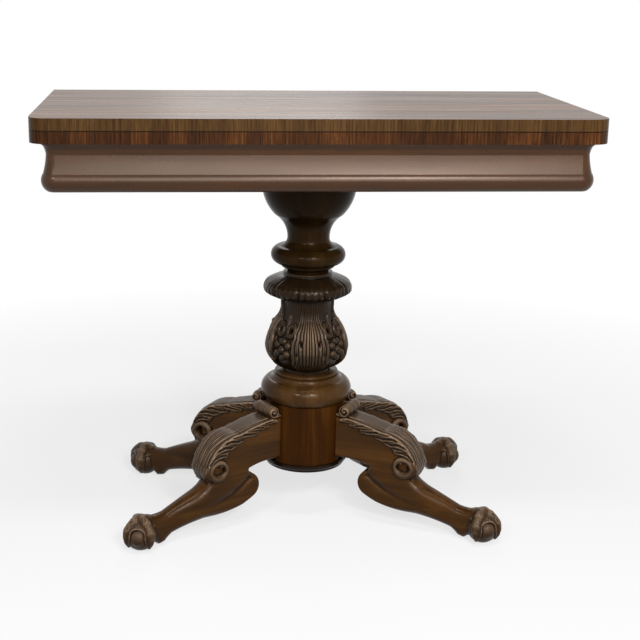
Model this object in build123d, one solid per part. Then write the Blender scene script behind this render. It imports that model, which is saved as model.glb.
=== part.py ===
from build123d import *
import math
import os

# Folding card table on a carved pedestal, in millimetres.
# The origin is on the floor under the column, +Z is up and the front of the table faces -Y.
# The folded top lies over the frame. It swivels a quarter turn on an off-centre bolt, and the upper
# leaf then turns over on two link hinges to rest on the other half of the frame.

# Top
leaf_length = 920.0
leaf_depth = 460.0
leaf_thickness = 19.7
leaf_corner_radius = 30.0
seam_gap = 0.3
slide_gap = 0.3

# Playing cloth let into each leaf
baize_border = 58.0
baize_hinge_border = 7.0
baize_recess = 0.9
baize_thickness = 0.8
baize_corner_radius = 26.0
baize_clearance = 0.3

# Link hinges at the two ends of the leaves
arris_radius = 3.85
hinge_plate_length = 38.0
hinge_plate_height = 12.0
hinge_plate_thickness = 6.4
plate_clearance = 0.1
link_thickness = 2.4
link_radius = 3.5
link_clearance = 0.2
hinge_pin_radius = 1.3
hinge_pin_clearance = 0.06
hinge_screw_radius = 1.4
hinge_screw_head_radius = 2.8
hinge_screw_head_height = 1.6
hinge_screw_length = 16.0
hinge_screw_first = 14.0
hinge_screw_spacing = 14.0
hinge_screw_count = 2
hinge_screw_drop = 1.6

# Moulded frame under the top: an ogee on the front and the two ends, and a plain back
frame_height = 79.0
frame_overhang = 15.0
frame_corner_radius = 24.0
rail_thickness = 36.0
back_rail_thickness = 22.0
ogee_depth = 9.0
bulge_height = 19.0
bulge_undercut = 10.0
waist_height = 59.0
strip_height = 4.5
strip_setback = 1.6
strip_step = 1.6
cove_share = 0.7
ogee_shares = [(0.4, 0.25), (0.83, 0.67)]

# Boards inside the frame
housing_depth = 12.0
centre_bearer_width = 220.0
centre_bearer_thickness = 28.0
pivot_bearer_width = 100.0
pivot_bearer_thickness = 22.0
well_bottom_thickness = 8.0
divider_thickness = 18.0
cleat_size = 14.0
corner_block_size = 40.0
corner_block_height = 60.0
bearer_screw_radius = 3.0
bearer_screw_head_radius = 5.6
bearer_screw_head_height = 3.0
bearer_screw_bite = 16.0
bearer_screw_pitch = 140.0
pivot_screw_pitch = 60.0

# Swivel bolt, its bush and its stop
bolt_radius = 9.0
bolt_clearance = 0.08
bolt_plate_radius = 36.0
bolt_plate_thickness = 4.0
bolt_screw_circle = 25.0
bolt_screw_count = 4
bolt_screw_radius = 2.2
bolt_screw_head_radius = 4.2
bolt_screw_head_height = 2.4
bolt_screw_length = 13.0
bolt_tail = 3.0
bolt_chamfer = 1.0
bush_wall = 4.0
bush_flange_radius = 19.0
bush_flange_thickness = 2.5
washer_radius = 20.0
washer_thickness = 2.5
nut_side = 28.0
nut_thickness = 9.0
nut_corner_share = 1.25
stop_side = 20.0
stop_height = 14.0
stop_chamfer = 1.5
stop_clearance = 0.3
stop_screw_radius = 2.2
stop_screw_head_radius = 4.2
stop_screw_head_height = 2.4
stop_screw_bite = 9.0

# Turned column under the frame
column_height = 177.0
column_top_radius = 84.5
column_neck_radius = 37.6
column_ring_radius = 66.5
column_foot_radius = 36.7
column_foot_flare = 7.3
column_band_radius = 48.0
column_tenon_radius = 24.0
column_spigot_radius = 15.0
column_spigot_bite = 26.0
wedge_thickness = 4.0
wedge_depth = 18.0
fit_clearance = 0.2

# Drooping collar of leaves
collar_height = 48.0
collar_radius = 79.0
collar_neck_radius = 44.0
collar_foot_radius = 51.0
collar_lip = 1.0
collar_leaf_count = 12
collar_notch_radius = 6.0
collar_notch_tip_radius = 1.0
collar_notch_setback = 1.0
collar_rib_width = 5.0
collar_rib_height = 1.6

# Carved baluster: four broad leaves with berries between them
baluster_height = 135.0
baluster_radius = 72.0
baluster_neck_radius = 46.5
baluster_foot_radius = 42.0
baluster_leaf_count = 4
baluster_leaf_relief = 3.2
baluster_leaf_half_width = 36.0
baluster_rib_relief = 1.6
baluster_rib_width = 6.0
baluster_rib_spacing = 17.0
baluster_rib_count = 3
baluster_spigot_radius = 20.0
baluster_spigot_bite = 26.0
berry_radius = 8.0
berry_spacing = 13.0
berry_lowest = 26.0
berry_sink = 3.0
berry_count = 3

# Base: moulding, drum and closing disc
moulding_height = 54.0
moulding_radius = 81.5
moulding_ring_radius = 57.5
drum_radius = 72.0
drum_height = 108.0
base_disc_height = 13.0
base_disc_radius = 77.0
base_disc_foot_radius = 72.0
base_peg_radius = 12.0
base_peg_length = 22.0
base_floor_gap = 93.0

# Legs, by the distance out from the column's axis and the height above the floor
leg_angles = [30, 150, 210, 330]
leg_reach = 380.0
leg_rise = 217.5
leg_thickness = 44.0
ankle_thickness = 32.0
leg_leaf_relief = 4.5
leg_lobe_drop = 3.5
leg_tenon_length = 26.0
leg_tenon_thickness = 14.0
leg_tenon_flare = 2.0
leg_tenon_height = 75.0
leg_scroll_radius = 12.0
leg_scroll_length = 58.0
leg_scroll_gap = 4.5
scroll_eye_radius = 4.5
scroll_eye_height = 1.5
volute_radius = 21.5
volute_relief = 7.0
volute_groove = 2.6
volute_groove_depth = 2.5
volute_eye_radius = 5.0
ball_radius = 27.5
ball_flat = 1.0
toe_radius = 7.5
toe_lift = 1.0
toe_side_count = 8
toe_angles = [0, 98, 180, 262]
paw_thickness = 3.5
paw_drop_share = 0.45

# One length past a face, which every through cut shares
overrun = 5.0

# Shares of a turned outline: from the low radius (0) to the high one (1), and up the piece's height.
# Each two points after the first make one arc.
vase_shares = [(0, 0.356), (0.093, 0.463), (0.494, 0.582), (0.96, 0.83), (0.937, 1)]
ring_shares = [(1, 0.164), (0.58, 0.258), (0.12, 0.29), (0, 0.356)]
band_low_share = 0.05
band_high_share = 0.085
collar_rim_share = 0.17
collar_under_shares = [(0, 0), (0.55, 0.05)]
collar_over_shares = [(1, 0.396), (0.743, 0.69), (0.4, 0.8), (0, 0.87)]
collar_notch_share = 0.6
baluster_shares = [
    (0, 0.045),
    (0.78, 0.19),
    (1, 0.355),
    (0.867, 0.481),
    (0.44, 0.674),
    (0.2, 0.77),
    (0.13, 0.889),
]
leaf_window_shares = [(0.45, 0.06), (0.9, 0.21), (1, 0.4), (0.8, 0.58), (0.42, 0.74), (0, 0.86)]
leaf_window_lobe_share = 0.12
dome_shares = [(0.86, 0), (1, 0.26), (0.896, 0.685)]
hollow_shares = [(0.86, 0.713), (0.77, 0.76), (0.737, 0.87)]
moulding_ring_share = 0.94
disc_rim_share = 0.6
disc_bow_share = 0.25

# Shares of a leg's outline: out of its reach and up its rise, in arcs as above
leg_under_shares = [(0.158, 0.52), (0.263, 0.533), (0.358, 0.501), (0.353, 0.464), (0.334, 0.446)]
leg_shin_shares = [
    (0.334, 0.446),
    (0.3, 0.345),
    (0.337, 0.244),
    (0.43, 0.175),
    (0.55, 0.138),
    (0.66, 0.118),
    (0.758, 0.078),
    (0.78, 0.05),
    (0.795, 0.023),
]
leg_pad_share = (0.826, 0.009)
leg_instep_shares = [
    (0.908, 0.276),
    (0.845, 0.258),
    (0.79, 0.268),
    (0.72, 0.322),
    (0.65, 0.372),
    (0.61, 0.408),
    (0.579, 0.451),
]
leg_back_shares = [(0.563, 0.598), (0.505, 0.74), (0.421, 0.795), (0.3, 0.845), (0.158, 0.887)]
leg_crest_shares = [
    (0.158, 0.915),
    (0.29, 0.888),
    (0.421, 0.83),
    (0.555, 0.726),
    (0.6, 0.56),
    (0.6, 0.51),
    (0.587, 0.46),
]
leg_lobe_shares = [
    (0.505, 0.611),
    (0.474, 0.694),
    (0.432, 0.745),
    (0.384, 0.777),
    (0.334, 0.805),
    (0.284, 0.832),
    (0.232, 0.855),
    (0.158, 0.874),
]
leg_taper_shares = (0.605, 0.763)
volute_share = (0.532, 0.543)
volute_half_turns = 3
toe_bend_shares = [(150, 0.95), (112, 1.2), (75, 1), (50, 1.15), (15, 0.8), (-30, 0.15)]
toe_starts = [150, 112, 50, 112]

# Levels, from the floor up
disc_top_z = base_floor_gap + base_disc_height
drum_top_z = disc_top_z + drum_height
moulding_top_z = drum_top_z + moulding_height
baluster_top_z = moulding_top_z + baluster_height
collar_top_z = baluster_top_z + collar_height
frame_z = collar_top_z + column_height
frame_top_z = frame_z + frame_height
lower_leaf_z = frame_top_z + slide_gap
lower_leaf_top_z = lower_leaf_z + leaf_thickness
upper_leaf_z = lower_leaf_top_z + seam_gap
bearer_top_z = frame_z + centre_bearer_thickness
well_floor_z = bearer_top_z + well_bottom_thickness
pivot_bearer_z = frame_top_z - pivot_bearer_thickness

# Plan of the frame and the swivel
half_length = leaf_length / 2
half_depth = leaf_depth / 2
frame_half_length = half_length - frame_overhang
frame_half_depth = half_depth - frame_overhang
inner_half_length = frame_half_length - rail_thickness
inner_front_y = rail_thickness - frame_half_depth
inner_back_y = frame_half_depth - back_rail_thickness
corner_x = frame_half_length - frame_corner_radius
corner_y = frame_corner_radius - frame_half_depth
pivot_x = (half_depth + seam_gap / 2) / 2
pivot_y = pivot_x

# Hinge pins: each lies one arris radius inside its leaf, so the two rounded edges roll on each other
hinge_y = half_depth - arris_radius
lower_pin_z = lower_leaf_top_z - arris_radius
upper_pin_z = upper_leaf_z + arris_radius
plate_inner_x = half_length - hinge_plate_thickness


def block(low, high):
    """A box between two corners."""
    size = [b - a for a, b in zip(low, high)]
    middle = [(a + b) / 2 for a, b in zip(low, high)]
    return Pos(*middle) * Box(*size)


def rod(radius, low_z, high_z, x=0, y=0):
    """An upright round bar between two levels."""
    return Pos(x, y, (low_z + high_z) / 2) * Cylinder(radius, high_z - low_z)


def cross_rod(radius, low_x, high_x, y, z):
    """A round bar along X."""
    return Pos((low_x + high_x) / 2, y, z) * Rot(0, 90, 0) * Cylinder(radius, high_x - low_x)


def side_rod(radius, length, x, z):
    """A round bar along Y, centred on the XZ plane."""
    return Pos(x, 0, z) * Rot(90, 0, 0) * Cylinder(radius, length)


def sink(low_radius, high_radius, low_z, high_z, x=0, y=0):
    """A cone between two levels."""
    return Pos(x, y, (low_z + high_z) / 2) * Cone(low_radius, high_radius, high_z - low_z)


def outline(*runs):
    """A face from its boundary: a run of two points is a line, and a longer one a row of arcs."""
    edges = []
    for run in runs:
        if isinstance(run, Edge):
            edges.append(run)
        elif len(run) == 2:
            edges.append(Line(*run))
        else:
            edges += [ThreePointArc(*run[i : i + 3]) for i in range(0, len(run) - 2, 2)]
    return make_face(Curve() + edges)


def spread(shares, low, high, height):
    """Points of a turned outline between two radii, up a height."""
    return [(low + a * (high - low), b * height) for a, b in shares]


def group(solids):
    """Separate solids that share one node."""
    return Compound([piece for solid in solids for piece in solid.solids()])


def both_ends(solid):
    """A piece on the right and its mirror image on the left."""
    return group([solid, mirror(solid, about=Plane.YZ)])


def wood_screw(radius, head_radius, head_height, length):
    """Points down, with the top of its flat head at the origin and a slot across it."""
    screw = rod(radius, -length, 0) + sink(radius, head_radius, -head_height, 0)
    slot = block((-head_radius, -radius / 4, -head_height / 2), (head_radius, radius / 4, 0))
    return screw - slot


def screw_hole(radius, head_radius, head_height, length):
    """The space that a wood screw needs, with its head's top at the origin."""
    shank = rod(radius + plate_clearance, -length - plate_clearance, 0)
    return shank + sink(radius + plate_clearance, head_radius + plate_clearance, -head_height, 0)


def playing_corner(solid, playing_z):
    """The long edges of a leaf or a plate at the hinge side of its playing face."""
    edges = solid.edges().filter_by(Axis.X)
    near = [e for e in edges if e.center().Y > hinge_y and abs(e.center().Z - playing_z) < arris_radius]
    return near


# The two leaves, their cloth and their hinges. A leaf plays up or down: the lower leaf's playing face is
# its top, and the upper leaf's is its underside, and they meet when the top is folded.


def playing_level(plays_up):
    return lower_leaf_top_z if plays_up else upper_leaf_z


def pin_level(plays_up):
    return lower_pin_z if plays_up else upper_pin_z


def cloth_space(plays_up, depth, inset, from_face):
    """A sheet's space under the playing face, with round corners away from the hinge."""
    border = baize_border + inset
    width = 2 * (half_length - border)
    low_y = border - half_depth
    high_y = half_depth - baize_hinge_border - inset
    sheet = block((-width / 2, low_y, 0), (width / 2, high_y, depth))
    front = [e for e in sheet.edges().filter_by(Axis.Z) if e.center().Y < 0]
    sheet = fillet(front, baize_corner_radius)
    level = playing_level(plays_up)
    low_z = level - from_face - depth if plays_up else level + from_face
    return Pos(0, 0, low_z) * sheet


def make_baize(plays_up):
    """The cloth lies on the floor of its recess, a little below the wood."""
    return cloth_space(plays_up, baize_thickness, baize_clearance, baize_recess - baize_thickness)


def hinge_screw_places(plays_up):
    """The heads of a plate's screws, on the right-hand end."""
    drop = -hinge_screw_drop if plays_up else hinge_screw_drop
    z = pin_level(plays_up) + drop
    rows = [hinge_y - hinge_screw_first - i * hinge_screw_spacing for i in range(hinge_screw_count)]
    return [Pos(half_length, y, z) * Rot(0, 90, 0) for y in rows]


def plate_levels(plays_up, grow):
    """Bottom and top of a hinge plate, grown into its own leaf."""
    level = playing_level(plays_up)
    if plays_up:
        return level - hinge_plate_height - grow, level
    return level, level + hinge_plate_height + grow


def make_plate(plays_up):
    """A forked plate let into a leaf's end, with its corner rounded about the pin."""
    low_z, high_z = plate_levels(plays_up, 0)
    plate = block(
        (plate_inner_x, half_depth - hinge_plate_length, low_z), (half_length, half_depth, high_z)
    )
    plate = fillet(playing_corner(plate, playing_level(plays_up)), arris_radius)
    pin_z = pin_level(plays_up)
    reach = link_radius + link_clearance
    slot_x = half_length - hinge_plate_thickness / 2
    slot_half = link_thickness / 2 + link_clearance
    slot_low_z = pin_z - reach if plays_up else low_z - overrun
    slot_high_z = high_z + overrun if plays_up else pin_z + reach
    plate -= block(
        (slot_x - slot_half, hinge_y - reach, slot_low_z),
        (slot_x + slot_half, half_depth + overrun, slot_high_z),
    )
    bore = hinge_pin_radius + hinge_pin_clearance / 2
    plate -= cross_rod(bore, plate_inner_x - overrun, half_length + overrun, hinge_y, pin_z)
    for place in hinge_screw_places(plays_up):
        plate -= place * screw_hole(
            hinge_screw_radius, hinge_screw_head_radius, hinge_screw_head_height, hinge_screw_length
        )
    return plate


def plate_pocket(plays_up):
    """The cut in a leaf's right-hand end that takes one hinge plate and its screws."""
    low_z, high_z = plate_levels(plays_up, plate_clearance)
    if plays_up:
        high_z += overrun
    else:
        low_z -= overrun
    pocket = block(
        (plate_inner_x - plate_clearance, half_depth - hinge_plate_length - plate_clearance, low_z),
        (half_length + overrun, half_depth + overrun, high_z),
    )
    for place in hinge_screw_places(plays_up):
        pocket += place * rod(
            hinge_screw_radius + plate_clearance, -hinge_screw_length - plate_clearance, 0
        )
    return pocket


def make_hinge_pins(plays_up):
    return both_ends(
        cross_rod(hinge_pin_radius, plate_inner_x, half_length, hinge_y, pin_level(plays_up))
    )


def make_hinge_screws(plays_up):
    """Two countersunk screws in each plate."""
    screw = wood_screw(
        hinge_screw_radius, hinge_screw_head_radius, hinge_screw_head_height, hinge_screw_length
    )
    return both_ends(group([place * screw for place in hinge_screw_places(plays_up)]))


def make_hinge_links():
    """A flat bar with round ends and two holes joins the two plates of each hinge."""
    slot_x = half_length - hinge_plate_thickness / 2
    low_x = slot_x - link_thickness / 2
    high_x = slot_x + link_thickness / 2
    link = block(
        (low_x, hinge_y - link_radius, lower_pin_z), (high_x, hinge_y + link_radius, upper_pin_z)
    )
    for pin_z in (lower_pin_z, upper_pin_z):
        link += cross_rod(link_radius, low_x, high_x, hinge_y, pin_z)
    bore = hinge_pin_radius + hinge_pin_clearance
    for pin_z in (lower_pin_z, upper_pin_z):
        link -= cross_rod(bore, low_x - overrun, high_x + overrun, hinge_y, pin_z)
    return both_ends(link)


def make_leaf(plays_up):
    """A board with two round corners, a rounded hinge edge, a cloth recess and two hinge pockets."""
    low_z = lower_leaf_z if plays_up else upper_leaf_z
    board = block((-half_length, -half_depth, low_z), (half_length, half_depth, low_z + leaf_thickness))
    corners = [e for e in board.edges().filter_by(Axis.Z) if e.center().Y < 0]
    board = fillet(corners, leaf_corner_radius)
    board = fillet(playing_corner(board, playing_level(plays_up)), arris_radius)
    board -= cloth_space(plays_up, baize_recess + overrun, 0, -overrun)
    pocket = plate_pocket(plays_up)
    board -= pocket
    board -= mirror(pocket, about=Plane.YZ)
    return board


def make_lower_leaf():
    """The lower leaf also takes the swivel bolt's plate, its screws and the stop's screw."""
    board = make_leaf(True)
    board -= rod(
        bolt_plate_radius + fit_clearance,
        lower_leaf_z - overrun,
        lower_leaf_z + bolt_plate_thickness,
        pivot_x,
        pivot_y,
    )
    for x, y in bolt_screw_places():
        top_z = lower_leaf_z + bolt_screw_length + plate_clearance
        board -= rod(bolt_screw_radius + plate_clearance, lower_leaf_z, top_z, x, y)
    stop_x, stop_y = stop_centre()
    top_z = lower_leaf_z + stop_screw_bite + plate_clearance
    board -= rod(stop_screw_radius + plate_clearance, lower_leaf_z - overrun, top_z, stop_x, stop_y)
    return board


# The swivel: a bolt on a round plate under the lower leaf turns in a bush in the pivot bearer


def bolt_screw_places():
    step = 2 * math.pi / bolt_screw_count
    angles = [step * (i + 0.5) for i in range(bolt_screw_count)]
    return [
        (pivot_x + bolt_screw_circle * math.cos(a), pivot_y + bolt_screw_circle * math.sin(a))
        for a in angles
    ]


def make_pivot_bolt():
    """A round plate let into the lower leaf and the bolt that hangs from it."""
    end_z = pivot_bearer_z - slide_gap - washer_thickness - nut_thickness - bolt_tail
    shank = rod(bolt_radius, end_z, lower_leaf_z, pivot_x, pivot_y)
    shank = chamfer(shank.edges().sort_by(Axis.Z)[0], bolt_chamfer)
    bolt = shank + rod(
        bolt_plate_radius, lower_leaf_z, lower_leaf_z + bolt_plate_thickness, pivot_x, pivot_y
    )
    hole = Rot(180, 0, 0) * screw_hole(
        bolt_screw_radius, bolt_screw_head_radius, bolt_screw_head_height, bolt_screw_length
    )
    for x, y in bolt_screw_places():
        bolt -= Pos(x, y, lower_leaf_z) * hole
    return bolt


def make_pivot_screws():
    screw = Rot(180, 0, 0) * wood_screw(
        bolt_screw_radius, bolt_screw_head_radius, bolt_screw_head_height, bolt_screw_length
    )
    return group([Pos(x, y, lower_leaf_z) * screw for x, y in bolt_screw_places()])


def make_pivot_washer():
    top_z = pivot_bearer_z - slide_gap
    low_z = top_z - washer_thickness
    washer = rod(washer_radius, low_z, top_z, pivot_x, pivot_y)
    return washer - rod(bolt_radius + bolt_clearance, low_z, top_z, pivot_x, pivot_y)


def make_pivot_nut():
    """A square nut with its corners turned off."""
    top_z = pivot_bearer_z - slide_gap - washer_thickness
    low_z = top_z - nut_thickness
    half = nut_side / 2
    nut = block((pivot_x - half, pivot_y - half, low_z), (pivot_x + half, pivot_y + half, top_z))
    nut &= rod(half * nut_corner_share, low_z, top_z, pivot_x, pivot_y)
    return nut - rod(bolt_radius + bolt_clearance, low_z, top_z, pivot_x, pivot_y)


def make_pivot_bush():
    """A flanged bush, let in from below."""
    bush = rod(bolt_radius + bush_wall, pivot_bearer_z, frame_top_z, pivot_x, pivot_y)
    bush += rod(
        bush_flange_radius, pivot_bearer_z, pivot_bearer_z + bush_flange_thickness, pivot_x, pivot_y
    )
    bore = bolt_radius + bolt_clearance
    return bush - rod(bore, pivot_bearer_z - overrun, frame_top_z + overrun, pivot_x, pivot_y)


def stop_centre():
    """Beside the pivot bearer's right-hand edge both when the top is folded and a quarter turn on."""
    offset = pivot_bearer_width / 2 + stop_clearance + stop_side / 2
    return pivot_x + offset, pivot_y - offset


def make_stop_block():
    """Meets the bearer's edge with one face when folded and with the next one when turned."""
    x, y = stop_centre()
    half = stop_side / 2
    low_z = lower_leaf_z - stop_height
    stop = block((x - half, y - half, low_z), (x + half, y + half, lower_leaf_z))
    stop = chamfer(stop.faces().sort_by(Axis.Z)[0].edges(), stop_chamfer)
    hole = Rot(180, 0, 0) * screw_hole(
        stop_screw_radius, stop_screw_head_radius, stop_screw_head_height, stop_height
    )
    return stop - Pos(x, y, low_z) * hole


def make_stop_screw():
    x, y = stop_centre()
    screw = Rot(180, 0, 0) * wood_screw(
        stop_screw_radius, stop_screw_head_radius, stop_screw_head_height, stop_height + stop_screw_bite
    )
    return Pos(x, y, lower_leaf_z - stop_height) * screw


# The frame. A moulded rail's section has its outward side to +X and its bulge line at X = 0.


def rail_section(inner):
    strip_z = frame_height - strip_height
    cove_x = -strip_setback - strip_step
    deep_x = cove_x - (ogee_depth + cove_x) * cove_share
    rise = waist_height - bulge_height
    shoulders = [(-a * ogee_depth, bulge_height + b * rise) for a, b in ogee_shares]
    return outline(
        [(-inner, 0), (-bulge_undercut, 0)],
        [
            (-bulge_undercut, 0),
            (0, bulge_height),
            *shoulders,
            (-ogee_depth, waist_height),
            (deep_x, (waist_height + strip_z) / 2),
            (cove_x, strip_z),
        ],
        [(cove_x, strip_z), (-strip_setback, strip_z)],
        [(-strip_setback, strip_z), (-strip_setback, frame_height)],
        [(-strip_setback, frame_height), (-inner, frame_height)],
        [(-inner, frame_height), (-inner, 0)],
    )


def straight_rail(low_y, high_y):
    """A length of moulded rail along Y."""
    section = Plane.XZ * rail_section(rail_thickness)
    return Pos(0, high_y, 0) * extrude(section, high_y - low_y)


def corner_turn():
    """The moulding turned through the right-hand front corner."""
    section = Plane.XZ * Pos(frame_corner_radius, 0) * rail_section(frame_corner_radius)
    turn = Rot(0, 0, -90) * revolve(section, Axis.Z, 90)
    return Pos(corner_x, corner_y, frame_z) * turn


def beyond_mitre(end_side):
    """All that lies on one side of the right-hand mitre."""
    reach = 2 * rail_thickness
    shift = reach / 2 if end_side else -reach / 2
    tall = frame_height + 2 * overrun
    middle = Pos(corner_x, corner_y, frame_z + frame_height / 2)
    return middle * Rot(0, 0, 45) * Pos(shift, 0, 0) * Box(reach, 2 * reach, tall)


def make_frieze_front():
    """Moulded front rail, mitred at both round corners and housed for the two bearers."""
    rail = Pos(0, -frame_half_depth, frame_z) * Rot(0, 0, -90) * straight_rail(-corner_x, corner_x)
    turn = corner_turn()
    rail += turn
    rail += mirror(turn, about=Plane.YZ)
    mitre = beyond_mitre(True)
    rail -= mitre
    rail -= mirror(mitre, about=Plane.YZ)
    return cut_housings(rail)


def make_frieze_end():
    """Right-hand end rail, mitred at the front and square at the back."""
    rail = Pos(frame_half_length, 0, frame_z) * straight_rail(corner_y, frame_half_depth)
    rail += corner_turn()
    return rail - beyond_mitre(False)


def make_back_rail():
    """Flat back rail between the ends."""
    rail = block(
        (-inner_half_length, inner_back_y, frame_z), (inner_half_length, frame_half_depth, frame_top_z)
    )
    return cut_housings(rail)


def cut_housings(rail):
    """The bearers' ends are let into the front and back rails, and screwed there."""
    rail -= centre_board()
    rail -= pivot_board()
    for hole in bearer_screw_places():
        rail -= hole * rod(bearer_screw_radius + plate_clearance, -bearer_screw_length(hole), 0)
    return rail


def housed_board(low_x, high_x, low_z, high_z):
    """A board whose ends reach into the front and back rails."""
    return block(
        (low_x, inner_front_y - housing_depth, low_z), (high_x, inner_back_y + housing_depth, high_z)
    )


def centre_board():
    half = centre_bearer_width / 2
    return housed_board(-half, half, frame_z, bearer_top_z)


def pivot_board():
    half = pivot_bearer_width / 2
    return housed_board(pivot_x - half, pivot_x + half, pivot_bearer_z, frame_top_z)


def screw_rows(centre_x, pitch, level, turn):
    """Two screws at each end of a board, their heads at a level."""
    ends = (inner_front_y - housing_depth / 2, inner_back_y + housing_depth / 2)
    return [
        Pos(centre_x + side * pitch / 2, y, level) * Rot(turn, 0, 0) for side in (-1, 1) for y in ends
    ]


def bearer_screw_places():
    """Up through the centre bearer, then down through the pivot bearer."""
    upward = screw_rows(0, bearer_screw_pitch, frame_z, 180)
    downward = screw_rows(pivot_x, pivot_screw_pitch, frame_top_z, 0)
    return upward + downward


def bearer_screw_length(place):
    """A screw passes through its board and bites into the rail."""
    upward = place.position.Z < bearer_top_z
    return bearer_screw_bite + (centre_bearer_thickness if upward else pivot_bearer_thickness)


def cut_screws(board):
    for place in bearer_screw_places():
        board -= place * screw_hole(
            bearer_screw_radius,
            bearer_screw_head_radius,
            bearer_screw_head_height,
            bearer_screw_length(place),
        )
    return board


def make_bearer_screws():
    return group(
        place
        * wood_screw(
            bearer_screw_radius,
            bearer_screw_head_radius,
            bearer_screw_head_height,
            bearer_screw_length(place) - plate_clearance,
        )
        for place in bearer_screw_places()
    )


def make_centre_bearer():
    """Stout board across the bottom of the frame, bored for the column's tenon."""
    hole = rod(column_tenon_radius + fit_clearance, frame_z - overrun, bearer_top_z + overrun)
    return cut_screws(centre_board() - hole)


def make_pivot_bearer():
    """Flush with the frame's top, bored for the bush and its flange."""
    board = pivot_board()
    bore = bolt_radius + bush_wall + fit_clearance
    board -= rod(bore, pivot_bearer_z - overrun, frame_top_z + overrun, pivot_x, pivot_y)
    board -= rod(
        bush_flange_radius + fit_clearance,
        pivot_bearer_z - overrun,
        pivot_bearer_z + bush_flange_thickness,
        pivot_x,
        pivot_y,
    )
    return cut_screws(board)


def make_well_bottom():
    """Floor of the card well, from the left end rail to the divider."""
    return block(
        (-inner_half_length, inner_front_y, bearer_top_z),
        (divider_thickness / 2, inner_back_y, well_floor_z),
    )


def make_well_divider():
    """Closes the well and carries the seam of the opened top."""
    half = divider_thickness / 2
    return block((-half, inner_front_y, well_floor_z), (half, inner_back_y, frame_top_z))


def make_well_cleats():
    """Strips under the well's floor, along the front, back and left rails."""
    left = -inner_half_length
    right = -centre_bearer_width / 2
    low_z = bearer_top_z - cleat_size
    front = inner_front_y + cleat_size
    back = inner_back_y - cleat_size
    return group(
        [
            block((left, inner_front_y, low_z), (right, front, bearer_top_z)),
            block((left, back, low_z), (right, inner_back_y, bearer_top_z)),
            block((left, front, low_z), (left + cleat_size, back, bearer_top_z)),
        ]
    )


def make_corner_blocks():
    """Triangular glue blocks in the two right-hand corners."""
    blocks = []
    for y, inward in ((inner_front_y, 1), (inner_back_y, -1)):
        points = [
            (inner_half_length, y),
            (inner_half_length - corner_block_size, y),
            (inner_half_length, y + inward * corner_block_size),
        ]
        face = make_face(Polyline(*points, close=True))
        blocks.append(Pos(0, 0, frame_z) * extrude(face, corner_block_height))
    return group(blocks)


# The pedestal. Each turned piece is drawn from its own foot up and then lifted to its level.


def turned(face):
    return revolve(Plane.XZ * face, Axis.Z)


def make_column_post():
    """Vase under the frame with a ring at its waist, a tenon above and a spigot below."""
    height = column_height
    neck = column_neck_radius
    vase = spread(vase_shares, neck, column_top_radius, height)
    band_low = (column_band_radius, height * band_low_share)
    band_high = (column_band_radius, height * band_high_share)
    ring = [band_high] + spread(ring_shares, neck, column_ring_radius, height)
    foot_top = (column_foot_radius + column_foot_flare, height * band_low_share)
    foot_middle = (column_foot_radius + column_foot_flare / 4, height * band_low_share / 2)
    face = outline(
        [(0, 0), (column_foot_radius, 0)],
        [(column_foot_radius, 0), foot_middle, foot_top],
        [foot_top, band_low],
        [band_low, band_high],
        ring,
        vase,
        [vase[-1], (0, height)],
        [(0, height), (0, 0)],
    )
    post = turned(face)
    post += rod(column_tenon_radius, height, height + centre_bearer_thickness)
    post += rod(column_spigot_radius, -collar_height - column_spigot_bite, 0)
    post -= Pos(0, 0, height + centre_bearer_thickness - wedge_depth) * wedge_space()
    return Pos(0, 0, collar_top_z) * post


def wedge_space():
    """The saw cut in the tenon that its wedge fills, tapering downwards."""
    half = wedge_thickness / 2
    points = [(-half / 2, 0), (half / 2, 0), (half, wedge_depth), (-half, wedge_depth)]
    face = Plane.XZ * make_face(Polyline(*points, close=True))
    return extrude(face, column_tenon_radius + fit_clearance, both=True)


def make_column_wedge():
    """Spreads the tenon in the centre bearer."""
    wedge = wedge_space() & rod(column_tenon_radius, 0, wedge_depth)
    return Pos(0, 0, bearer_top_z - wedge_depth) * wedge


def collar_over(raise_by):
    """The top side of the collar's leaves, from the rim in to the neck."""
    points = spread(collar_over_shares, collar_neck_radius, collar_radius, collar_height)
    rim = (collar_radius - collar_lip, collar_height * collar_rim_share)
    return [(r + raise_by, z) for r, z in [rim] + points]


def collar_face(raise_by):
    over = collar_over(raise_by)
    under = spread(collar_under_shares, collar_foot_radius, collar_radius, collar_height)
    neck_top = (over[-1][0], collar_height)
    return outline(
        [(0, 0), under[0]],
        under + [over[0]],
        over,
        [over[-1], neck_top],
        [neck_top, (0, collar_height)],
        [(0, collar_height), (0, 0)],
    )


def make_leaf_collar():
    """A cap of drooping leaves: a notch between each two and a rib along each."""
    collar = turned(collar_face(0))
    rib = extrude(Plane.XZ * collar_face(collar_rib_height), collar_rib_width / 2, both=True)
    rib &= block((0, -collar_rib_width, 0), (2 * collar_radius, collar_rib_width, collar_over(0)[-1][1]))
    notch = sink(
        collar_notch_radius,
        collar_notch_tip_radius,
        -overrun,
        collar_height * collar_notch_share,
        collar_radius + collar_notch_setback,
    )
    step = 360 / collar_leaf_count
    for i in range(collar_leaf_count):
        collar += Rot(0, 0, i * step) * rib
    for i in range(collar_leaf_count):
        collar -= Rot(0, 0, (i + 0.5) * step) * notch
    collar -= rod(column_spigot_radius + fit_clearance, -overrun, collar_height + overrun)
    return Pos(0, 0, baluster_top_z) * collar


def baluster_face(raise_by):
    points = spread(baluster_shares, baluster_foot_radius, baluster_radius, baluster_height)
    points = [(r + raise_by, z) for r, z in points]
    foot = (points[0][0], 0)
    neck = (baluster_neck_radius + raise_by, baluster_height)
    return outline(
        [(0, 0), foot],
        [foot, points[0]],
        points,
        [points[-1], neck],
        [neck, (0, baluster_height)],
        [(0, baluster_height), (0, 0)],
    )


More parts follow.
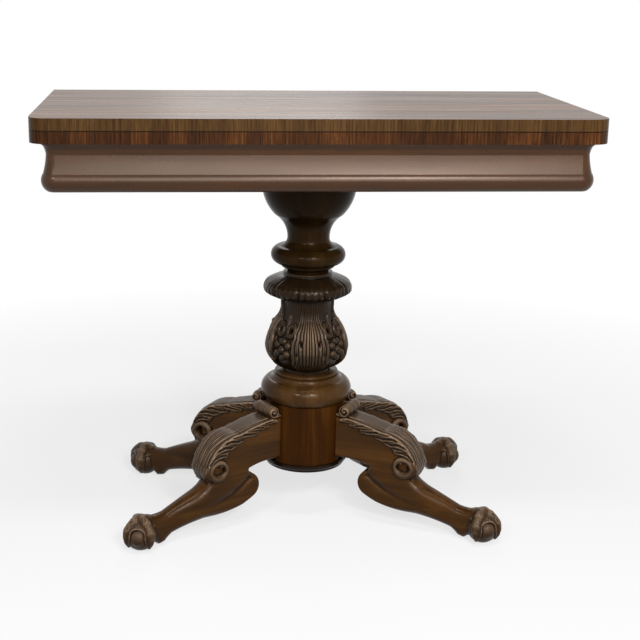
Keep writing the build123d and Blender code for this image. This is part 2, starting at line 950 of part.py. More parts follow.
def leaf_window():
    """The leaf's outline as seen from the side, with a lobe between each two points."""
    points = [(a * baluster_leaf_half_width, b * baluster_height) for a, b in leaf_window_shares]
    lobe = baluster_leaf_half_width * leaf_window_lobe_share
    right = [SagittaArc(a, b, -lobe) for a, b in zip(points, points[1:])]
    left = [mirror(arc, about=Plane.YZ) for arc in right]
    foot = Line((-points[0][0], points[0][1]), points[0])
    return make_face(Curve() + [foot, *right, *left])


def baluster_leaf():
    """One broad leaf on the front of the belly, with upright ribs."""
    leaf = Rot(0, 0, -45) * revolve(Plane.XZ * baluster_face(baluster_leaf_relief), Axis.Z, 90)
    ribbed = baluster_leaf_relief + baluster_rib_relief
    rib = extrude(Plane.XZ * baluster_face(ribbed), baluster_rib_width / 2, both=True)
    for i in range(baluster_rib_count):
        leaf += Rot(0, 0, (i - (baluster_rib_count - 1) / 2) * baluster_rib_spacing) * rib
    window = extrude(Plane.YZ * leaf_window(), 2 * baluster_radius)
    return leaf & window


def make_baluster():
    """Vase-shaped belly with four leaves, and a column of berries between each two."""
    baluster = turned(baluster_face(0))
    leaf = baluster_leaf()
    step = 360 / baluster_leaf_count
    for i in range(baluster_leaf_count):
        baluster += Rot(0, 0, step * i) * leaf
    middle = (berry_count - 1) / 2
    for i in range(baluster_leaf_count):
        for j in range(berry_count):
            sunk = berry_sink * (1 + abs(j - middle))
            berry = Pos(baluster_radius - sunk, 0, berry_lowest + j * berry_spacing) * Sphere(berry_radius)
            baluster += Rot(0, 0, step * (i + 0.5)) * berry
    baluster -= rod(
        column_spigot_radius + fit_clearance,
        baluster_height - column_spigot_bite - fit_clearance,
        baluster_height + overrun,
    )
    baluster += rod(baluster_spigot_radius, -moulding_height - baluster_spigot_bite, 0)
    return Pos(0, 0, moulding_top_z) * baluster


def make_base_moulding():
    """A broad dome with a hollow and a small ring above it."""
    dome = [(a * moulding_radius, b * moulding_height) for a, b in dome_shares]
    hollow = [(a * moulding_radius, b * moulding_height) for a, b in hollow_shares]
    ring_z = moulding_height * moulding_ring_share
    ring_half = moulding_height - ring_z
    ring_foot = (moulding_ring_radius - ring_half, ring_z - ring_half)
    ring_top = (moulding_ring_radius - ring_half, moulding_height)
    face = outline(
        [(0, 0), dome[0]],
        dome,
        [dome[-1], hollow[0]],
        hollow,
        [hollow[-1], ring_foot],
        ThreePointArc(ring_foot, (moulding_ring_radius, ring_z), ring_top),
        [ring_top, (0, moulding_height)],
        [(0, moulding_height), (0, 0)],
    )
    moulding = turned(face)
    moulding -= rod(baluster_spigot_radius + fit_clearance, -overrun, moulding_height + overrun)
    return Pos(0, 0, drum_top_z) * moulding


def dovetail(grow, low_z, high_z):
    """A leg's tenon in plan: wider inside the drum than at its surface."""
    inner_x = drum_radius - leg_tenon_length - grow
    outer_x = drum_radius + fit_clearance + overrun
    root = leg_tenon_thickness / 2 + grow
    tip = root + leg_tenon_flare
    points = [(inner_x, -tip), (outer_x, -root), (outer_x, root), (inner_x, tip)]
    face = make_face(Polyline(*points, close=True))
    return Pos(0, 0, low_z) * extrude(face, high_z - low_z)


def make_drum():
    """Turned drum with four dovetailed grooves for the legs, which slide in from below."""
    drum = rod(drum_radius, disc_top_z, drum_top_z)
    groove = dovetail(fit_clearance, disc_top_z - overrun, disc_top_z + leg_tenon_height + fit_clearance)
    for angle in leg_angles:
        drum -= Rot(0, 0, angle) * groove
    bore_z = drum_top_z - baluster_spigot_bite - fit_clearance
    drum -= rod(baluster_spigot_radius + fit_clearance, bore_z, drum_top_z + overrun)
    peg_top_z = disc_top_z + base_peg_length + fit_clearance
    drum -= rod(base_peg_radius + fit_clearance, disc_top_z - overrun, peg_top_z)
    return drum


def make_base_disc():
    """Moulded disc that closes the legs' grooves, with a peg into the drum."""
    foot = (base_disc_foot_radius, 0)
    rim = (base_disc_radius, base_disc_height * disc_rim_share)
    edge = (base_disc_radius, base_disc_height)
    face = outline(
        [(0, 0), foot],
        SagittaArc(foot, rim, (base_disc_radius - base_disc_foot_radius) * disc_bow_share),
        [rim, edge],
        [edge, (0, base_disc_height)],
        [(0, base_disc_height), (0, 0)],
    )
    disc = turned(face) + rod(base_peg_radius, base_disc_height, base_disc_height + base_peg_length)
    return Pos(0, 0, base_floor_gap) * disc


# The legs. One is drawn along +X from the column's axis and then turned to its angle.


def leg_points(shares):
    return [(a * leg_reach, b * leg_rise) for a, b in shares]


def leg_arm():
    """Scrolled arm and shin: the side outline, tapered in plan towards the ankle."""
    under = leg_points(leg_under_shares)
    shin = leg_points(leg_shin_shares)
    pad = leg_points([leg_pad_share])[0]
    instep = leg_points(leg_instep_shares)
    back = leg_points(leg_back_shares)
    ball = ball_centre()
    side = outline(
        under,
        shin,
        [shin[-1], pad],
        [pad, ball],
        [ball, instep[0]],
        instep,
        [instep[-1], back[0]],
        back,
        [back[-1], under[0]],
    )
    arm = extrude(Plane.XZ * side, leg_thickness, both=True)
    half = leg_thickness / 2
    ankle = ankle_thickness / 2
    taper_start, taper_end = [share * leg_reach for share in leg_taper_shares]
    upper = [(0, half), (taper_start, half), (taper_end, ankle), (leg_reach, ankle)]
    lower = [(x, -y) for x, y in reversed(upper)]
    plan = make_face(Polyline(*upper, *lower, close=True))
    return arm & extrude(plan, leg_rise + overrun)


def leg_leaf():
    """The leaf that caps the arm, with a row of lobes hanging over each side."""
    crest = leg_points(leg_crest_shares)
    edge = leg_points(leg_lobe_shares)
    lobes = [SagittaArc(a, b, -leg_lobe_drop) for a, b in zip(edge, edge[1:])]
    side = outline(crest, [crest[-1], edge[0]], *lobes, [edge[-1], crest[0]])
    return extrude(Plane.XZ * side, leg_thickness / 2 + leg_leaf_relief, both=True)


def spiral(inset):
    """One edge of the volute's groove: half-turn arcs that close in steadily."""
    first = volute_radius - volute_groove
    last = volute_eye_radius + 2 * volute_groove
    points = []
    for i in range(2 * volute_half_turns + 1):
        share = i / (2 * volute_half_turns)
        radius = first + (last - first) * share - inset
        points.append((radius * math.cos(i * math.pi / 2), -radius * math.sin(i * math.pi / 2)))
    return points


def leg_volute():
    """The knee's volute: a stout roll with a spiral groove in each end and a round eye."""
    x, z = leg_points([volute_share])[0]
    half = leg_thickness / 2 + volute_relief
    roll = side_rod(volute_radius, 2 * half, x, z)
    outer = spiral(0)
    inner = spiral(volute_groove)
    groove = outline(outer, [outer[-1], inner[-1]], inner[::-1], [inner[0], outer[0]])
    cutter = extrude(Plane.XZ * groove, volute_groove_depth + overrun)
    near = Pos(x, -half + volute_groove_depth, z) * cutter
    roll -= near
    roll -= mirror(near, about=Plane.XZ)
    return roll + side_rod(volute_eye_radius, 2 * (half + scroll_eye_height), x, z)


def leg_scroll():
    """The small roll at the top of the arm, against the drum."""
    x = drum_radius + leg_scroll_gap + leg_scroll_radius
    z = leg_rise - leg_scroll_radius
    roll = side_rod(leg_scroll_radius, leg_scroll_length, x, z)
    return roll + side_rod(scroll_eye_radius, leg_scroll_length + 2 * scroll_eye_height, x, z)


def ball_centre():
    return leg_reach - ball_radius - toe_radius, ball_radius - ball_flat


def toe(start):
    """A jointed toe over the ball, ending in a claw: eight-sided, swelling at its knuckles."""
    sections = []
    for angle, share in toe_bend_shares:
        if angle > start:
            continue
        bend = math.radians(angle)
        outward = Vector(math.cos(bend), 0, math.sin(bend))
        onward = Vector(math.sin(bend), 0, -math.cos(bend))
        centre = outward * (ball_radius + toe_lift * share)
        section = Plane(origin=centre, x_dir=outward, z_dir=onward)
        sections.append(section * RegularPolygon(toe_radius * share, toe_side_count))
    return loft(sections, ruled=True)


def leg_foot():
    """A ball gripped by four toes, with the skin of the paw drawn over its top."""
    x, z = ball_centre()
    reach = ball_radius + paw_thickness
    paw = Sphere(reach) & block((-reach, -reach, ball_radius * paw_drop_share), (reach, reach, reach))
    foot = Sphere(ball_radius) + paw
    for angle, start in zip(toe_angles, toe_starts):
        foot += Rot(0, 0, angle) * toe(start)
    foot = Pos(x, 0, z) * foot
    return foot - block((0, -leg_reach, -ball_radius), (2 * leg_reach, leg_reach, 0))


def leg_blank():
    """A whole leg with its dovetail, hollowed at the root to fit the drum."""
    leg = leg_arm() + leg_leaf() + leg_volute() + leg_scroll() + leg_foot()
    leg -= rod(drum_radius + fit_clearance, 0, leg_rise)
    return leg + dovetail(0, disc_top_z, disc_top_z + leg_tenon_height)


def make_parts():
    """Every node of the table by name."""
    leg = leg_blank()
    end = make_frieze_end()
    parts = {
        "lower_leaf": make_lower_leaf(),
        "upper_leaf": make_leaf(False),
        "lower_baize": make_baize(True),
        "upper_baize": make_baize(False),
        "lower_hinge_plates": both_ends(make_plate(True)),
        "upper_hinge_plates": both_ends(make_plate(False)),
        "lower_hinge_pins": make_hinge_pins(True),
        "upper_hinge_pins": make_hinge_pins(False),
        "lower_hinge_screws": make_hinge_screws(True),
        "upper_hinge_screws": make_hinge_screws(False),
        "hinge_links": make_hinge_links(),
        "pivot_bolt": make_pivot_bolt(),
        "pivot_screws": make_pivot_screws(),
        "pivot_washer": make_pivot_washer(),
        "pivot_nut": make_pivot_nut(),
        "pivot_bush": make_pivot_bush(),
        "stop_block": make_stop_block(),
        "stop_screw": make_stop_screw(),
        "frieze_front": make_frieze_front(),
        "frieze_right": end,
        "frieze_left": mirror(end, about=Plane.YZ),
        "back_rail": make_back_rail(),
        "centre_bearer": make_centre_bearer(),
        "pivot_bearer": make_pivot_bearer(),
        "bearer_screws": make_bearer_screws(),
        "well_bottom": make_well_bottom(),
        "well_divider": make_well_divider(),
        "well_cleats": make_well_cleats(),
        "corner_blocks": make_corner_blocks(),
        "column_post": make_column_post(),
        "column_wedge": make_column_wedge(),
        "leaf_collar": make_leaf_collar(),
        "baluster": make_baluster(),
        "base_moulding": make_base_moulding(),
        "drum": make_drum(),
        "base_disc": make_base_disc(),
    }
    names = ["leg_back_right", "leg_back_left", "leg_front_left", "leg_front_right"]
    for name, angle in zip(names, leg_angles):
        parts[name] = Rot(0, 0, angle) * leg
    return parts


os.makedirs("parts", exist_ok=True)
for name, part in make_parts().items():
    export_step(part, f"parts/{name}.step")
    print(name, len(part.solids()), round(part.volume))
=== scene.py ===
import math

import bpy
import numpy as np
from mathutils import Matrix, Vector


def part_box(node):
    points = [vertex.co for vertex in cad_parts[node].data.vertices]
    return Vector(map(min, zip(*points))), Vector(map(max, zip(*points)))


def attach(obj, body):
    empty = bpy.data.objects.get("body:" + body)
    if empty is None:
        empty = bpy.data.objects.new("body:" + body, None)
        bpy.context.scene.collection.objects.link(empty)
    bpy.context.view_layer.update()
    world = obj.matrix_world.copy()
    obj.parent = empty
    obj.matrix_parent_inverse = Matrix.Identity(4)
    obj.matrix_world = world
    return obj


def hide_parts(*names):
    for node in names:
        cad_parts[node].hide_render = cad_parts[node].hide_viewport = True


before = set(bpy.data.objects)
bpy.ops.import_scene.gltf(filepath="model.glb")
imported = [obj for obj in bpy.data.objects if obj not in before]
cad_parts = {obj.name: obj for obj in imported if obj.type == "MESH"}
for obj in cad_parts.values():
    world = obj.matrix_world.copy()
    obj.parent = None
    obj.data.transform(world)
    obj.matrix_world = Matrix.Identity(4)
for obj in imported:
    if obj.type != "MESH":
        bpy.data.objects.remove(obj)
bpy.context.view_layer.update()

# Looks of the folding card table. Shapes are worked out in millimetres, and every mesh is made in metres.
mm = 0.001

# Levels and radii read from the frame, in millimetres


def low_mm(node):
    return [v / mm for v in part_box(node)[0]]


def high_mm(node):
    return [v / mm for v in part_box(node)[1]]


moulding_z = low_mm("base_moulding")[2]
baluster_z = high_mm("base_moulding")[2]
collar_z = low_mm("leaf_collar")[2]
column_z = high_mm("leaf_collar")[2]
baluster_height = collar_z - baluster_z
frame_z = low_mm("frieze_front")[2]
leg_rise = high_mm("leg_front_right")[2]
drum_radius = high_mm("drum")[0]

# Turned outlines, as shares of the radii and of each piece's height, each two points after the first an arc
column_top_radius = 84.5
column_neck_radius = 37.6
column_ring_radius = 66.5
column_band_radius = 48.0
column_foot_radius = 36.7
column_foot_flare = 7.3
vase_shares = [(0, 0.356), (0.093, 0.463), (0.494, 0.582), (0.96, 0.83), (0.937, 1)]
ring_shares = [(1, 0.164), (0.58, 0.258), (0.12, 0.29), (0, 0.356)]
band_low_share = 0.05
band_high_share = 0.085

collar_radius = 79.0
collar_neck_radius = 44.0
collar_foot_radius = 51.0
collar_lip = 1.0
collar_rim_share = 0.3
collar_under_shares = [(0, 0), (0.55, 0.14)]
collar_over_shares = [(1, 0.396), (0.743, 0.69), (0.4, 0.8), (0, 0.87)]
collar_leaf_count = 10
collar_lobes_per_leaf = 4

baluster_radius = 72.0
baluster_neck_radius = 46.5
baluster_foot_radius = 42.0
baluster_shares = [
    (0, 0.045), (0.78, 0.19), (1, 0.355), (0.867, 0.481),
    (0.44, 0.674), (0.2, 0.77), (0.13, 0.889),
]

moulding_radius = 81.5
moulding_ring_radius = 57.5
dome_shares = [(0.86, 0), (1, 0.26), (0.896, 0.685)]
hollow_shares = [(0.86, 0.713), (0.77, 0.76), (0.737, 0.87)]
moulding_ring_share = 0.94
spigot_radius = 20.0
plain_sides = 144
carved_sides = 720

# Side outline of a leg, as shares of its reach and its rise
leg_reach = 380.0
leg_half = 22.0
ankle_half = 16.0
leaf_half = 25.5
volute_half = 29.0
under_shares = [(0.158, 0.52), (0.263, 0.533), (0.358, 0.501), (0.353, 0.464), (0.334, 0.446)]
shin_shares = [
    (0.334, 0.446), (0.3, 0.345), (0.337, 0.244), (0.43, 0.175), (0.55, 0.138),
    (0.66, 0.118), (0.758, 0.078), (0.78, 0.05), (0.795, 0.023),
]
pad_share = (0.826, 0.009)
instep_shares = [
    (0.908, 0.276), (0.845, 0.258), (0.79, 0.268), (0.72, 0.322),
    (0.65, 0.372), (0.61, 0.408), (0.579, 0.451),
]
back_shares = [(0.563, 0.598), (0.505, 0.74), (0.421, 0.795), (0.3, 0.845), (0.158, 0.887)]
crest_shares = [
    (0.158, 0.915), (0.29, 0.888), (0.421, 0.83), (0.555, 0.726),
    (0.6, 0.56), (0.6, 0.51), (0.587, 0.46),
]
ridge_shares = [(0.334, 0.446), (0.39, 0.36), (0.47, 0.29), (0.545, 0.245), (0.62, 0.22)]
taper_shares = (0.605, 0.763)
volute_share = (0.532, 0.543)
volute_lift = 1.5
scroll_radius = 11.5
scroll_half = 29.0
scroll_gap = 4.5
ball_radius = 27.5
ball_flat = 1.0
toe_radius = 7.5
leg_angles = {"leg_back_right": 30, "leg_back_left": 150, "leg_front_left": 210, "leg_front_right": 330}
leg_voxel = 1.0
leaf_easing = 1.0 * mm


# Materials


def srgb(r, g, b):
    """A linear colour from its 0 to 255 screen values."""
    shares = (r / 255, g / 255, b / 255)
    return tuple(v / 12.92 if v <= 0.04045 else ((v + 0.055) / 1.055) ** 2.4 for v in shares)


# Layers of the materials' colours, and how much of each shows
pore_layer = (0.35, (0.012, 0.012, 0.012))
blotch_layer = (0.3, srgb(30, 17, 8))
fade_layer = (0.3, srgb(122, 96, 76))
seam_shade_and_grime_layer = (0.9, srgb(14, 7, 3))
# painted shade with grime: a near-black line along the seam where the two leaves meet
carved_layer = (0.55, srgb(30, 19, 10))
# painted shade with old polish: the hollows of the carving go almost black
hollow_shade_polish_layer = (0.96, srgb(7, 4, 2))
# painted highlight with wear on the raised carved edges, strongest where they face up
worn_edge_highlight_layer = (0.88, srgb(174, 146, 118))
# dust with painted light from above: carving that faces up is mixed toward this lighter colour
dust_and_top_light_colour = srgb(84, 66, 50)
polish_tint = (1.0, 0.82, 0.7)
figure_share = 0.72
# how much dust colour is mixed in, how much of it shows on carving that faces up, and the small share that
# what faces down still gets, so that it stays darker
dust_and_top_light_mix = 0.75
dusty_top_light_share = 0.7
downward_share = 0.12
carved_roughness = 0.12
# distances from the seam where the painted shade and grime line is full and where it has faded out
seam_shade_grime_low = 0.4 * mm
seam_shade_grime_high = 1.3 * mm
even = (1, 1, 1)
white = (1, 1, 1)


def fill(tree, node, inputs):
    """Links each named input to an output, or gives it a fixed value or colour."""
    for name, value in inputs.items():
        socket = node.inputs[name]
        if isinstance(value, bpy.types.NodeSocket):
            tree.links.new(value, socket)
        elif socket.type == "RGBA":
            socket.default_value = (*value, 1)
        else:
            socket.default_value = value


def add(tree, kind, inputs=None, **settings):
    """A shader node with its settings and its inputs."""
    made = tree.nodes.new("ShaderNode" + kind)
    for name, value in settings.items():
        setattr(made, name, value)
    fill(tree, made, inputs or {})
    return made


def ramp(tree, source, stops):
    """A colour ramp from stops of (place, red, green, blue), in screen values."""
    made = add(tree, "ValToRGB", {"Fac": source})
    elements = made.color_ramp.elements
    while len(elements) < len(stops):
        elements.new(0.5)
    for element, (at, *colour) in zip(elements, stops):
        element.position = at
        element.color = (*srgb(*colour), 1)
    return made.outputs["Color"]


def mixed(tree, factor, a, b):
    """Two colours mixed by a factor."""
    return add(tree, "Mix", {0: factor, 6: a, 7: b}, data_type="RGBA", clamp_factor=True).outputs[2]


def layered(tree, colour, mask, layer):
    """A colour under a layer of (share, colour), which shows where its mask is 1."""
    share, above = layer
    return mixed(tree, times(tree, mask, share), colour, above)


def maths(tree, operation, a, b=0.0, clamp=False):
    return add(tree, "Math", {0: a, 1: b}, operation=operation, use_clamp=clamp).outputs[0]


def times(tree, a, b):
    return maths(tree, "MULTIPLY", a, b)


def between(tree, source, low, high, to_low=0.0, to_high=1.0):
    """A value mapped from one range to another, and held inside it."""
    ranges = {0: source, 1: low, 2: high, 3: to_low, 4: to_high}
    return add(tree, "MapRange", ranges, clamp=True).outputs[0]


def noise(tree, stretch, scale, detail, roughness, distortion=0.0):
    """Noise over the piece's own coordinates, scaled along each axis."""
    where = add(tree, "TexCoord").outputs["Object"]
    vector = add(tree, "Mapping", {"Vector": where, "Scale": stretch}).outputs["Vector"]
    kind = {"Scale": scale, "Detail": detail, "Roughness": roughness, "Distortion": distortion}
    return add(tree, "TexNoise", {"Vector": vector, **kind}).outputs["Fac"]


def bump(tree, height, strength, distance):
    made = add(tree, "Bump", {"Height": height, "Strength": strength, "Distance": distance})
    return made.outputs["Normal"]


def attribute(tree, name):
    return add(tree, "Attribute", attribute_name=name).outputs["Fac"]


def new_material(name):
    material = bpy.data.materials.new(name)
    material.use_nodes = True
    tree = material.node_tree
    tree.nodes.clear()
    shader = add(tree, "BsdfPrincipled")
    add(tree, "OutputMaterial", {"Surface": shader.outputs[0]})
    return material, tree, shader


def along(axis, length_scale, cross_scale):
    """Scales that stretch a pattern along one axis."""
    return tuple(length_scale if a == axis else cross_scale for a in "XYZ")


def grain_colour(tree, axis, stops, figure_scale):
    """Long streaks of colour along the grain, with darker pores."""
    figure = noise(tree, along(axis, 1.6, figure_scale), 1.0, 5.0, 0.6, 0.6)
    streak = noise(tree, along(axis, 5.0, figure_scale * 5), 1.0, 3.0, 0.6)
    both = maths(tree, "ADD", times(tree, figure, figure_share), times(tree, streak, 1 - figure_share))
    pores = noise(tree, along(axis, 22.0, 700.0), 1.0, 2.0, 0.7)
    return layered(tree, ramp(tree, both, stops), between(tree, pores, 0.56, 0.72), pore_layer), pores


def polish(tree, shader, colour, roughness, pores, shine):
    surface = {"Base Color": colour, "Roughness": roughness, "Normal": bump(tree, pores, 0.06, 0.0006)}
    fill(tree, shader, {**surface, "Specular IOR Level": shine, "Specular Tint": polish_tint})


def wood(name, axis, stops, figure_scale, rough, shine, carved=False):
    """Polished wood with its grain along one axis, and the colours of its carving if it is carved."""
    material, tree, shader = new_material(name)
    colour, pores = grain_colour(tree, axis, stops, figure_scale)
    blotch = noise(tree, even, 9.0, 4.0, 0.6)
    colour = layered(tree, colour, between(tree, blotch, 0.35, 0.75), blotch_layer)
    roughness = between(tree, blotch, 0.3, 0.7, *rough)
    if carved:
        colour = carved_colour(tree, colour)
        roughness = maths(tree, "ADD", roughness, times(tree, attribute(tree, "leaf"), carved_roughness))
    polish(tree, shader, colour, roughness, pores, shine)
    return material


def facing_up(tree):
    """A small share for what faces down, and 1 for what faces up."""
    parts = add(tree, "SeparateXYZ", {0: add(tree, "TexCoord").outputs["Normal"]})
    return between(tree, parts.outputs["Z"], -0.2, 0.8, downward_share, 1.0)


def carved_colour(tree, colour):
    """Painted shade with old polish darkens the hollows, dust with painted light from above lightens carving
    that faces up, and a painted highlight with wear lightens the raised edges.
    """
    depth, carved = attribute(tree, "carve"), attribute(tree, "leaf")
    colour = layered(tree, colour, carved, carved_layer)
    # dust with painted light from above: carving that faces up is lighter, and what faces down is darker
    leaf = times(tree, carved, facing_up(tree))
    dusty_and_top_lit = mixed(tree, dust_and_top_light_mix, colour, dust_and_top_light_colour)
    colour = layered(tree, colour, leaf, (dusty_top_light_share, dusty_and_top_lit))
    # painted shade with old polish in the hollows
    colour = layered(tree, colour, between(tree, depth, 0.0, -0.3), hollow_shade_polish_layer)
    # painted highlight with wear on the raised edges
    edge = times(tree, between(tree, depth, 0.06, 0.4), leaf)
    return layered(tree, colour, edge, worn_edge_highlight_layer)


def crossbanding(tree, parts, colours, contrast, joint):
    """Short upright lengths of veneer, with a dark line of painted shade and grime where the two leaves meet.
    """
    run = maths(tree, "ADD", parts["X"], parts["Y"])
    lengths = {"W": run, "Scale": 34.0, "Randomness": 1.0}
    cells = add(tree, "TexVoronoi", lengths, voronoi_dimensions="1D")
    tone = add(tree, "SeparateColor", {0: cells.outputs["Color"]}).outputs[0]
    fine = between(tree, noise(tree, (330.0, 330.0, 14.0), 1.0, 4.0, 0.75), 0.24, 0.76)
    blend = maths(tree, "ADD", times(tree, tone, contrast), times(tree, fine, 1 - contrast))
    off_joint = maths(tree, "ABSOLUTE", maths(tree, "SUBTRACT", parts["Z"], joint))
    # painted shade of the seam, with grime: darkest on the seam line
    seam_shade_and_grime = between(tree, off_joint, seam_shade_grime_low, seam_shade_grime_high, 1.0, 0.0)
    return layered(tree, ramp(tree, blend, colours), seam_shade_and_grime, seam_shade_and_grime_layer)


def leaf_board(name, edge_colours, contrast, node, joint_side):
    """A leaf's face has its grain along X and is a little faded. Its edges are crossbanded."""
    material, tree, shader = new_material(name)
    face, pores = grain_colour(tree, "X", top_stops, 34.0)
    fade = noise(tree, (1.0, 3.0, 1.0), 2.2, 3.0, 0.5)
    face = layered(tree, face, between(tree, fade, 0.35, 0.7), fade_layer)
    coordinates = add(tree, "TexCoord").outputs
    parts = add(tree, "SeparateXYZ", {0: coordinates["Object"]}).outputs
    facing = add(tree, "SeparateXYZ", {0: coordinates["Normal"]}).outputs
    joint = joint_side(v.co.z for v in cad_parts[node].data.vertices)
    edge = crossbanding(tree, parts, edge_colours, contrast, joint)
    upright = maths(tree, "LESS_THAN", maths(tree, "ABSOLUTE", facing["Z"]), 0.6)
    streaks = noise(tree, (3.0, 160.0, 1.0), 1.0, 3.0, 0.6)
    rough = between(tree, streaks, 0.3, 0.7, 0.22, 0.38)
    polish(tree, shader, mixed(tree, upright, face, edge), rough, pores, 0.12)
    return material


def metal(name, colour, rough):
    """Aged metal: dull, with darker patches."""
    material, tree, shader = new_material(name)
    patch = noise(tree, even, 180.0, 4.0, 0.65)
    dark = tuple(v * 0.35 for v in colour)
    patchy = mixed(tree, between(tree, patch, 0.4, 0.7), colour, dark)
    roughness = between(tree, patch, 0.3, 0.7, rough, rough + 0.25)
    fill(tree, shader, {"Base Color": patchy, "Roughness": roughness, "Metallic": 1.0})
    return material


def cloth(name):
    """Green woollen playing cloth with a soft nap."""
    material, tree, shader = new_material(name)
    fibre = noise(tree, even, 1400.0, 3.0, 0.7)
    wear = noise(tree, even, 7.0, 3.0, 0.6)
    colour = mixed(tree, between(tree, wear, 0.3, 0.75), srgb(38, 74, 48), srgb(64, 96, 62))
    colour = mixed(tree, between(tree, fibre, 0.3, 0.7, 0.0, 0.4), colour, srgb(22, 46, 30))
    nap = {"Roughness": 0.95, "Sheen Weight": 0.35, "Sheen Roughness": 0.5}
    fill(tree, shader, {"Base Color": colour, "Normal": bump(tree, fibre, 0.35, 0.0004), **nap})
    return material


# Stops of each wood's colour ramp: place, then red, green and blue on the screen's scale
top_stops = [(0.4, 46, 26, 13), (0.48, 84, 55, 33), (0.55, 112, 77, 50), (0.64, 146, 110, 80)]
upper_edge_stops = [(0.2, 48, 30, 12), (0.5, 74, 50, 24), (0.8, 100, 71, 38)]
lower_edge_stops = [(0.2, 24, 9, 2), (0.42, 54, 28, 9), (0.58, 74, 41, 17), (0.8, 108, 66, 33)]
frieze_stops = [(0.3, 44, 23, 7), (0.5, 66, 38, 15), (0.7, 88, 54, 26)]
dark_stops = [(0.3, 20, 11, 2), (0.5, 32, 20, 7), (0.7, 46, 30, 12)]
column_stops = [(0.3, 27, 16, 3), (0.5, 42, 27, 8), (0.7, 59, 41, 16)]
drum_stops = [(0.35, 43, 19, 2), (0.5, 65, 35, 7), (0.65, 94, 57, 18)]
moulding_stops = [(0.3, 50, 30, 10), (0.5, 78, 52, 24), (0.7, 102, 72, 38)]
disc_stops = [(0.3, 16, 9, 5), (0.5, 24, 14, 8), (0.7, 34, 22, 14)]
leg_stops = [(0.35, 45, 25, 4), (0.5, 70, 42, 10), (0.65, 99, 63, 22)]
inner_stops = [(0.25, 120, 92, 62), (0.5, 150, 118, 84), (0.75, 172, 140, 104)]

wood_upper_leaf = leaf_board("upper_leaf_veneer", upper_edge_stops, 0.15, "upper_leaf", min)
wood_lower_leaf = leaf_board("lower_leaf_veneer", lower_edge_stops, 0.22, "lower_leaf", max)
wood_frieze = wood("moulded_frieze", "X", frieze_stops, 14.0, (0.26, 0.3), 0.4)
wood_frieze_end = wood("moulded_frieze_end", "Y", frieze_stops, 14.0, (0.26, 0.3), 0.4)
wood_column = wood("turned_column_wood", "Z", column_stops, 18.0, (0.18, 0.24), 0.06)
wood_drum = wood("drum_wood", "Z", drum_stops, 20.0, (0.26, 0.36), 0.06)
wood_moulding = wood("moulding_wood", "Z", moulding_stops, 16.0, (0.12, 0.22), 0.12)
wood_disc = wood("base_disc_wood", "Z", disc_stops, 16.0, (0.16, 0.26), 0.14)
wood_carved = wood("carved_pedestal_wood", "Z", dark_stops, 18.0, (0.18, 0.26), 0.16, carved=True)
wood_leg = wood("carved_leg_wood", "X", leg_stops, 18.0, (0.2, 0.25), 0.15, carved=True)
wood_inner_x = wood("inner_pine", "X", inner_stops, 30.0, (0.6, 0.8), 0.3)
wood_inner_y = wood("inner_pine_cross", "Y", inner_stops, 30.0, (0.6, 0.8), 0.3)
brass = metal("aged_brass", srgb(176, 138, 74), 0.35)
iron = metal("dark_iron_metal", srgb(70, 64, 58), 0.45)
green_cloth = cloth("playing_cloth")


# Values over arrays of points


def unit(values):
    """Values held between 0 and 1."""
    return np.clip(values, 0, 1)


def graded(at, stops):
    """The value at a place, from stops of (place, value)."""
    return np.interp(at, *zip(*stops))


def bell(distance, width):
    """A soft hump, 1 at its middle."""
    return np.exp(-((distance / width) ** 2))


def arch(distance, half):
    """A round hump, 1 at its middle and 0 from half its width on."""
    return np.sqrt(unit(1 - (distance / half) ** 2))


def grooves(at, spacing, sharpness=1):
    """0 on each crest and 1 in each groove between them."""
    return 1 - np.abs(np.cos(math.pi * at / spacing)) ** sharpness


# Mesh helpers


def build_mesh(name, points, quads, rests):
    """A mesh from points in millimetres and an array of four-sided faces, plus any other faces as lists."""
    mesh = bpy.data.meshes.new(name)
    mesh.from_pydata((points * mm).tolist(), [], [*map(tuple, quads.tolist()), *rests])
    mesh.validate()
    mesh.shade_smooth()
    return mesh


def write_attribute(mesh, name, values):
    layer = mesh.attributes.new(name, "FLOAT", "POINT")
    layer.data.foreach_set("value", np.asarray(values, np.float32))


def relaxed(points, quads, passes, share):
    """Points moved by a share towards the middle of their neighbours, some times over."""
    here = quads.ravel()
    following = np.roll(quads, -1, axis=1).ravel()
    a, b = np.concatenate([here, following]), np.concatenate([following, here])
    count = np.maximum(np.bincount(a, minlength=len(points)), 1)[:, None]
    points = points.copy()
    for _ in range(passes):
        sums = np.stack([np.bincount(a, points[b, i], len(points)) for i in range(3)], 1)
        points += share * (sums / count - points)
    return points


def point_normals(points, quads):
    across = points[quads[:, 2]] - points[quads[:, 0]]
    other = points[quads[:, 3]] - points[quads[:, 1]]
    face = np.cross(across, other)
    sums = [np.bincount(quads.ravel(), np.repeat(face[:, i], 4), len(points)) for i in range(3)]
    normal = np.stack(sums, 1)
    return normal / np.maximum(np.linalg.norm(normal, axis=1), 1e-9)[:, None]


def write_depth(mesh, points, quads, passes=12):
    """How far each point stands out of the smoothed surface, in millimetres: hollows are negative."""
    smooth = relaxed(points, quads, passes, 0.5)
    depth = np.sum((points - smooth) * point_normals(points, quads), axis=1)
    write_attribute(mesh, "carve", depth)


def run_lengths(run):
    """The length along a run up to each of its points."""
    return np.concatenate([[0], np.cumsum(np.linalg.norm(np.diff(run, axis=0), axis=1))])


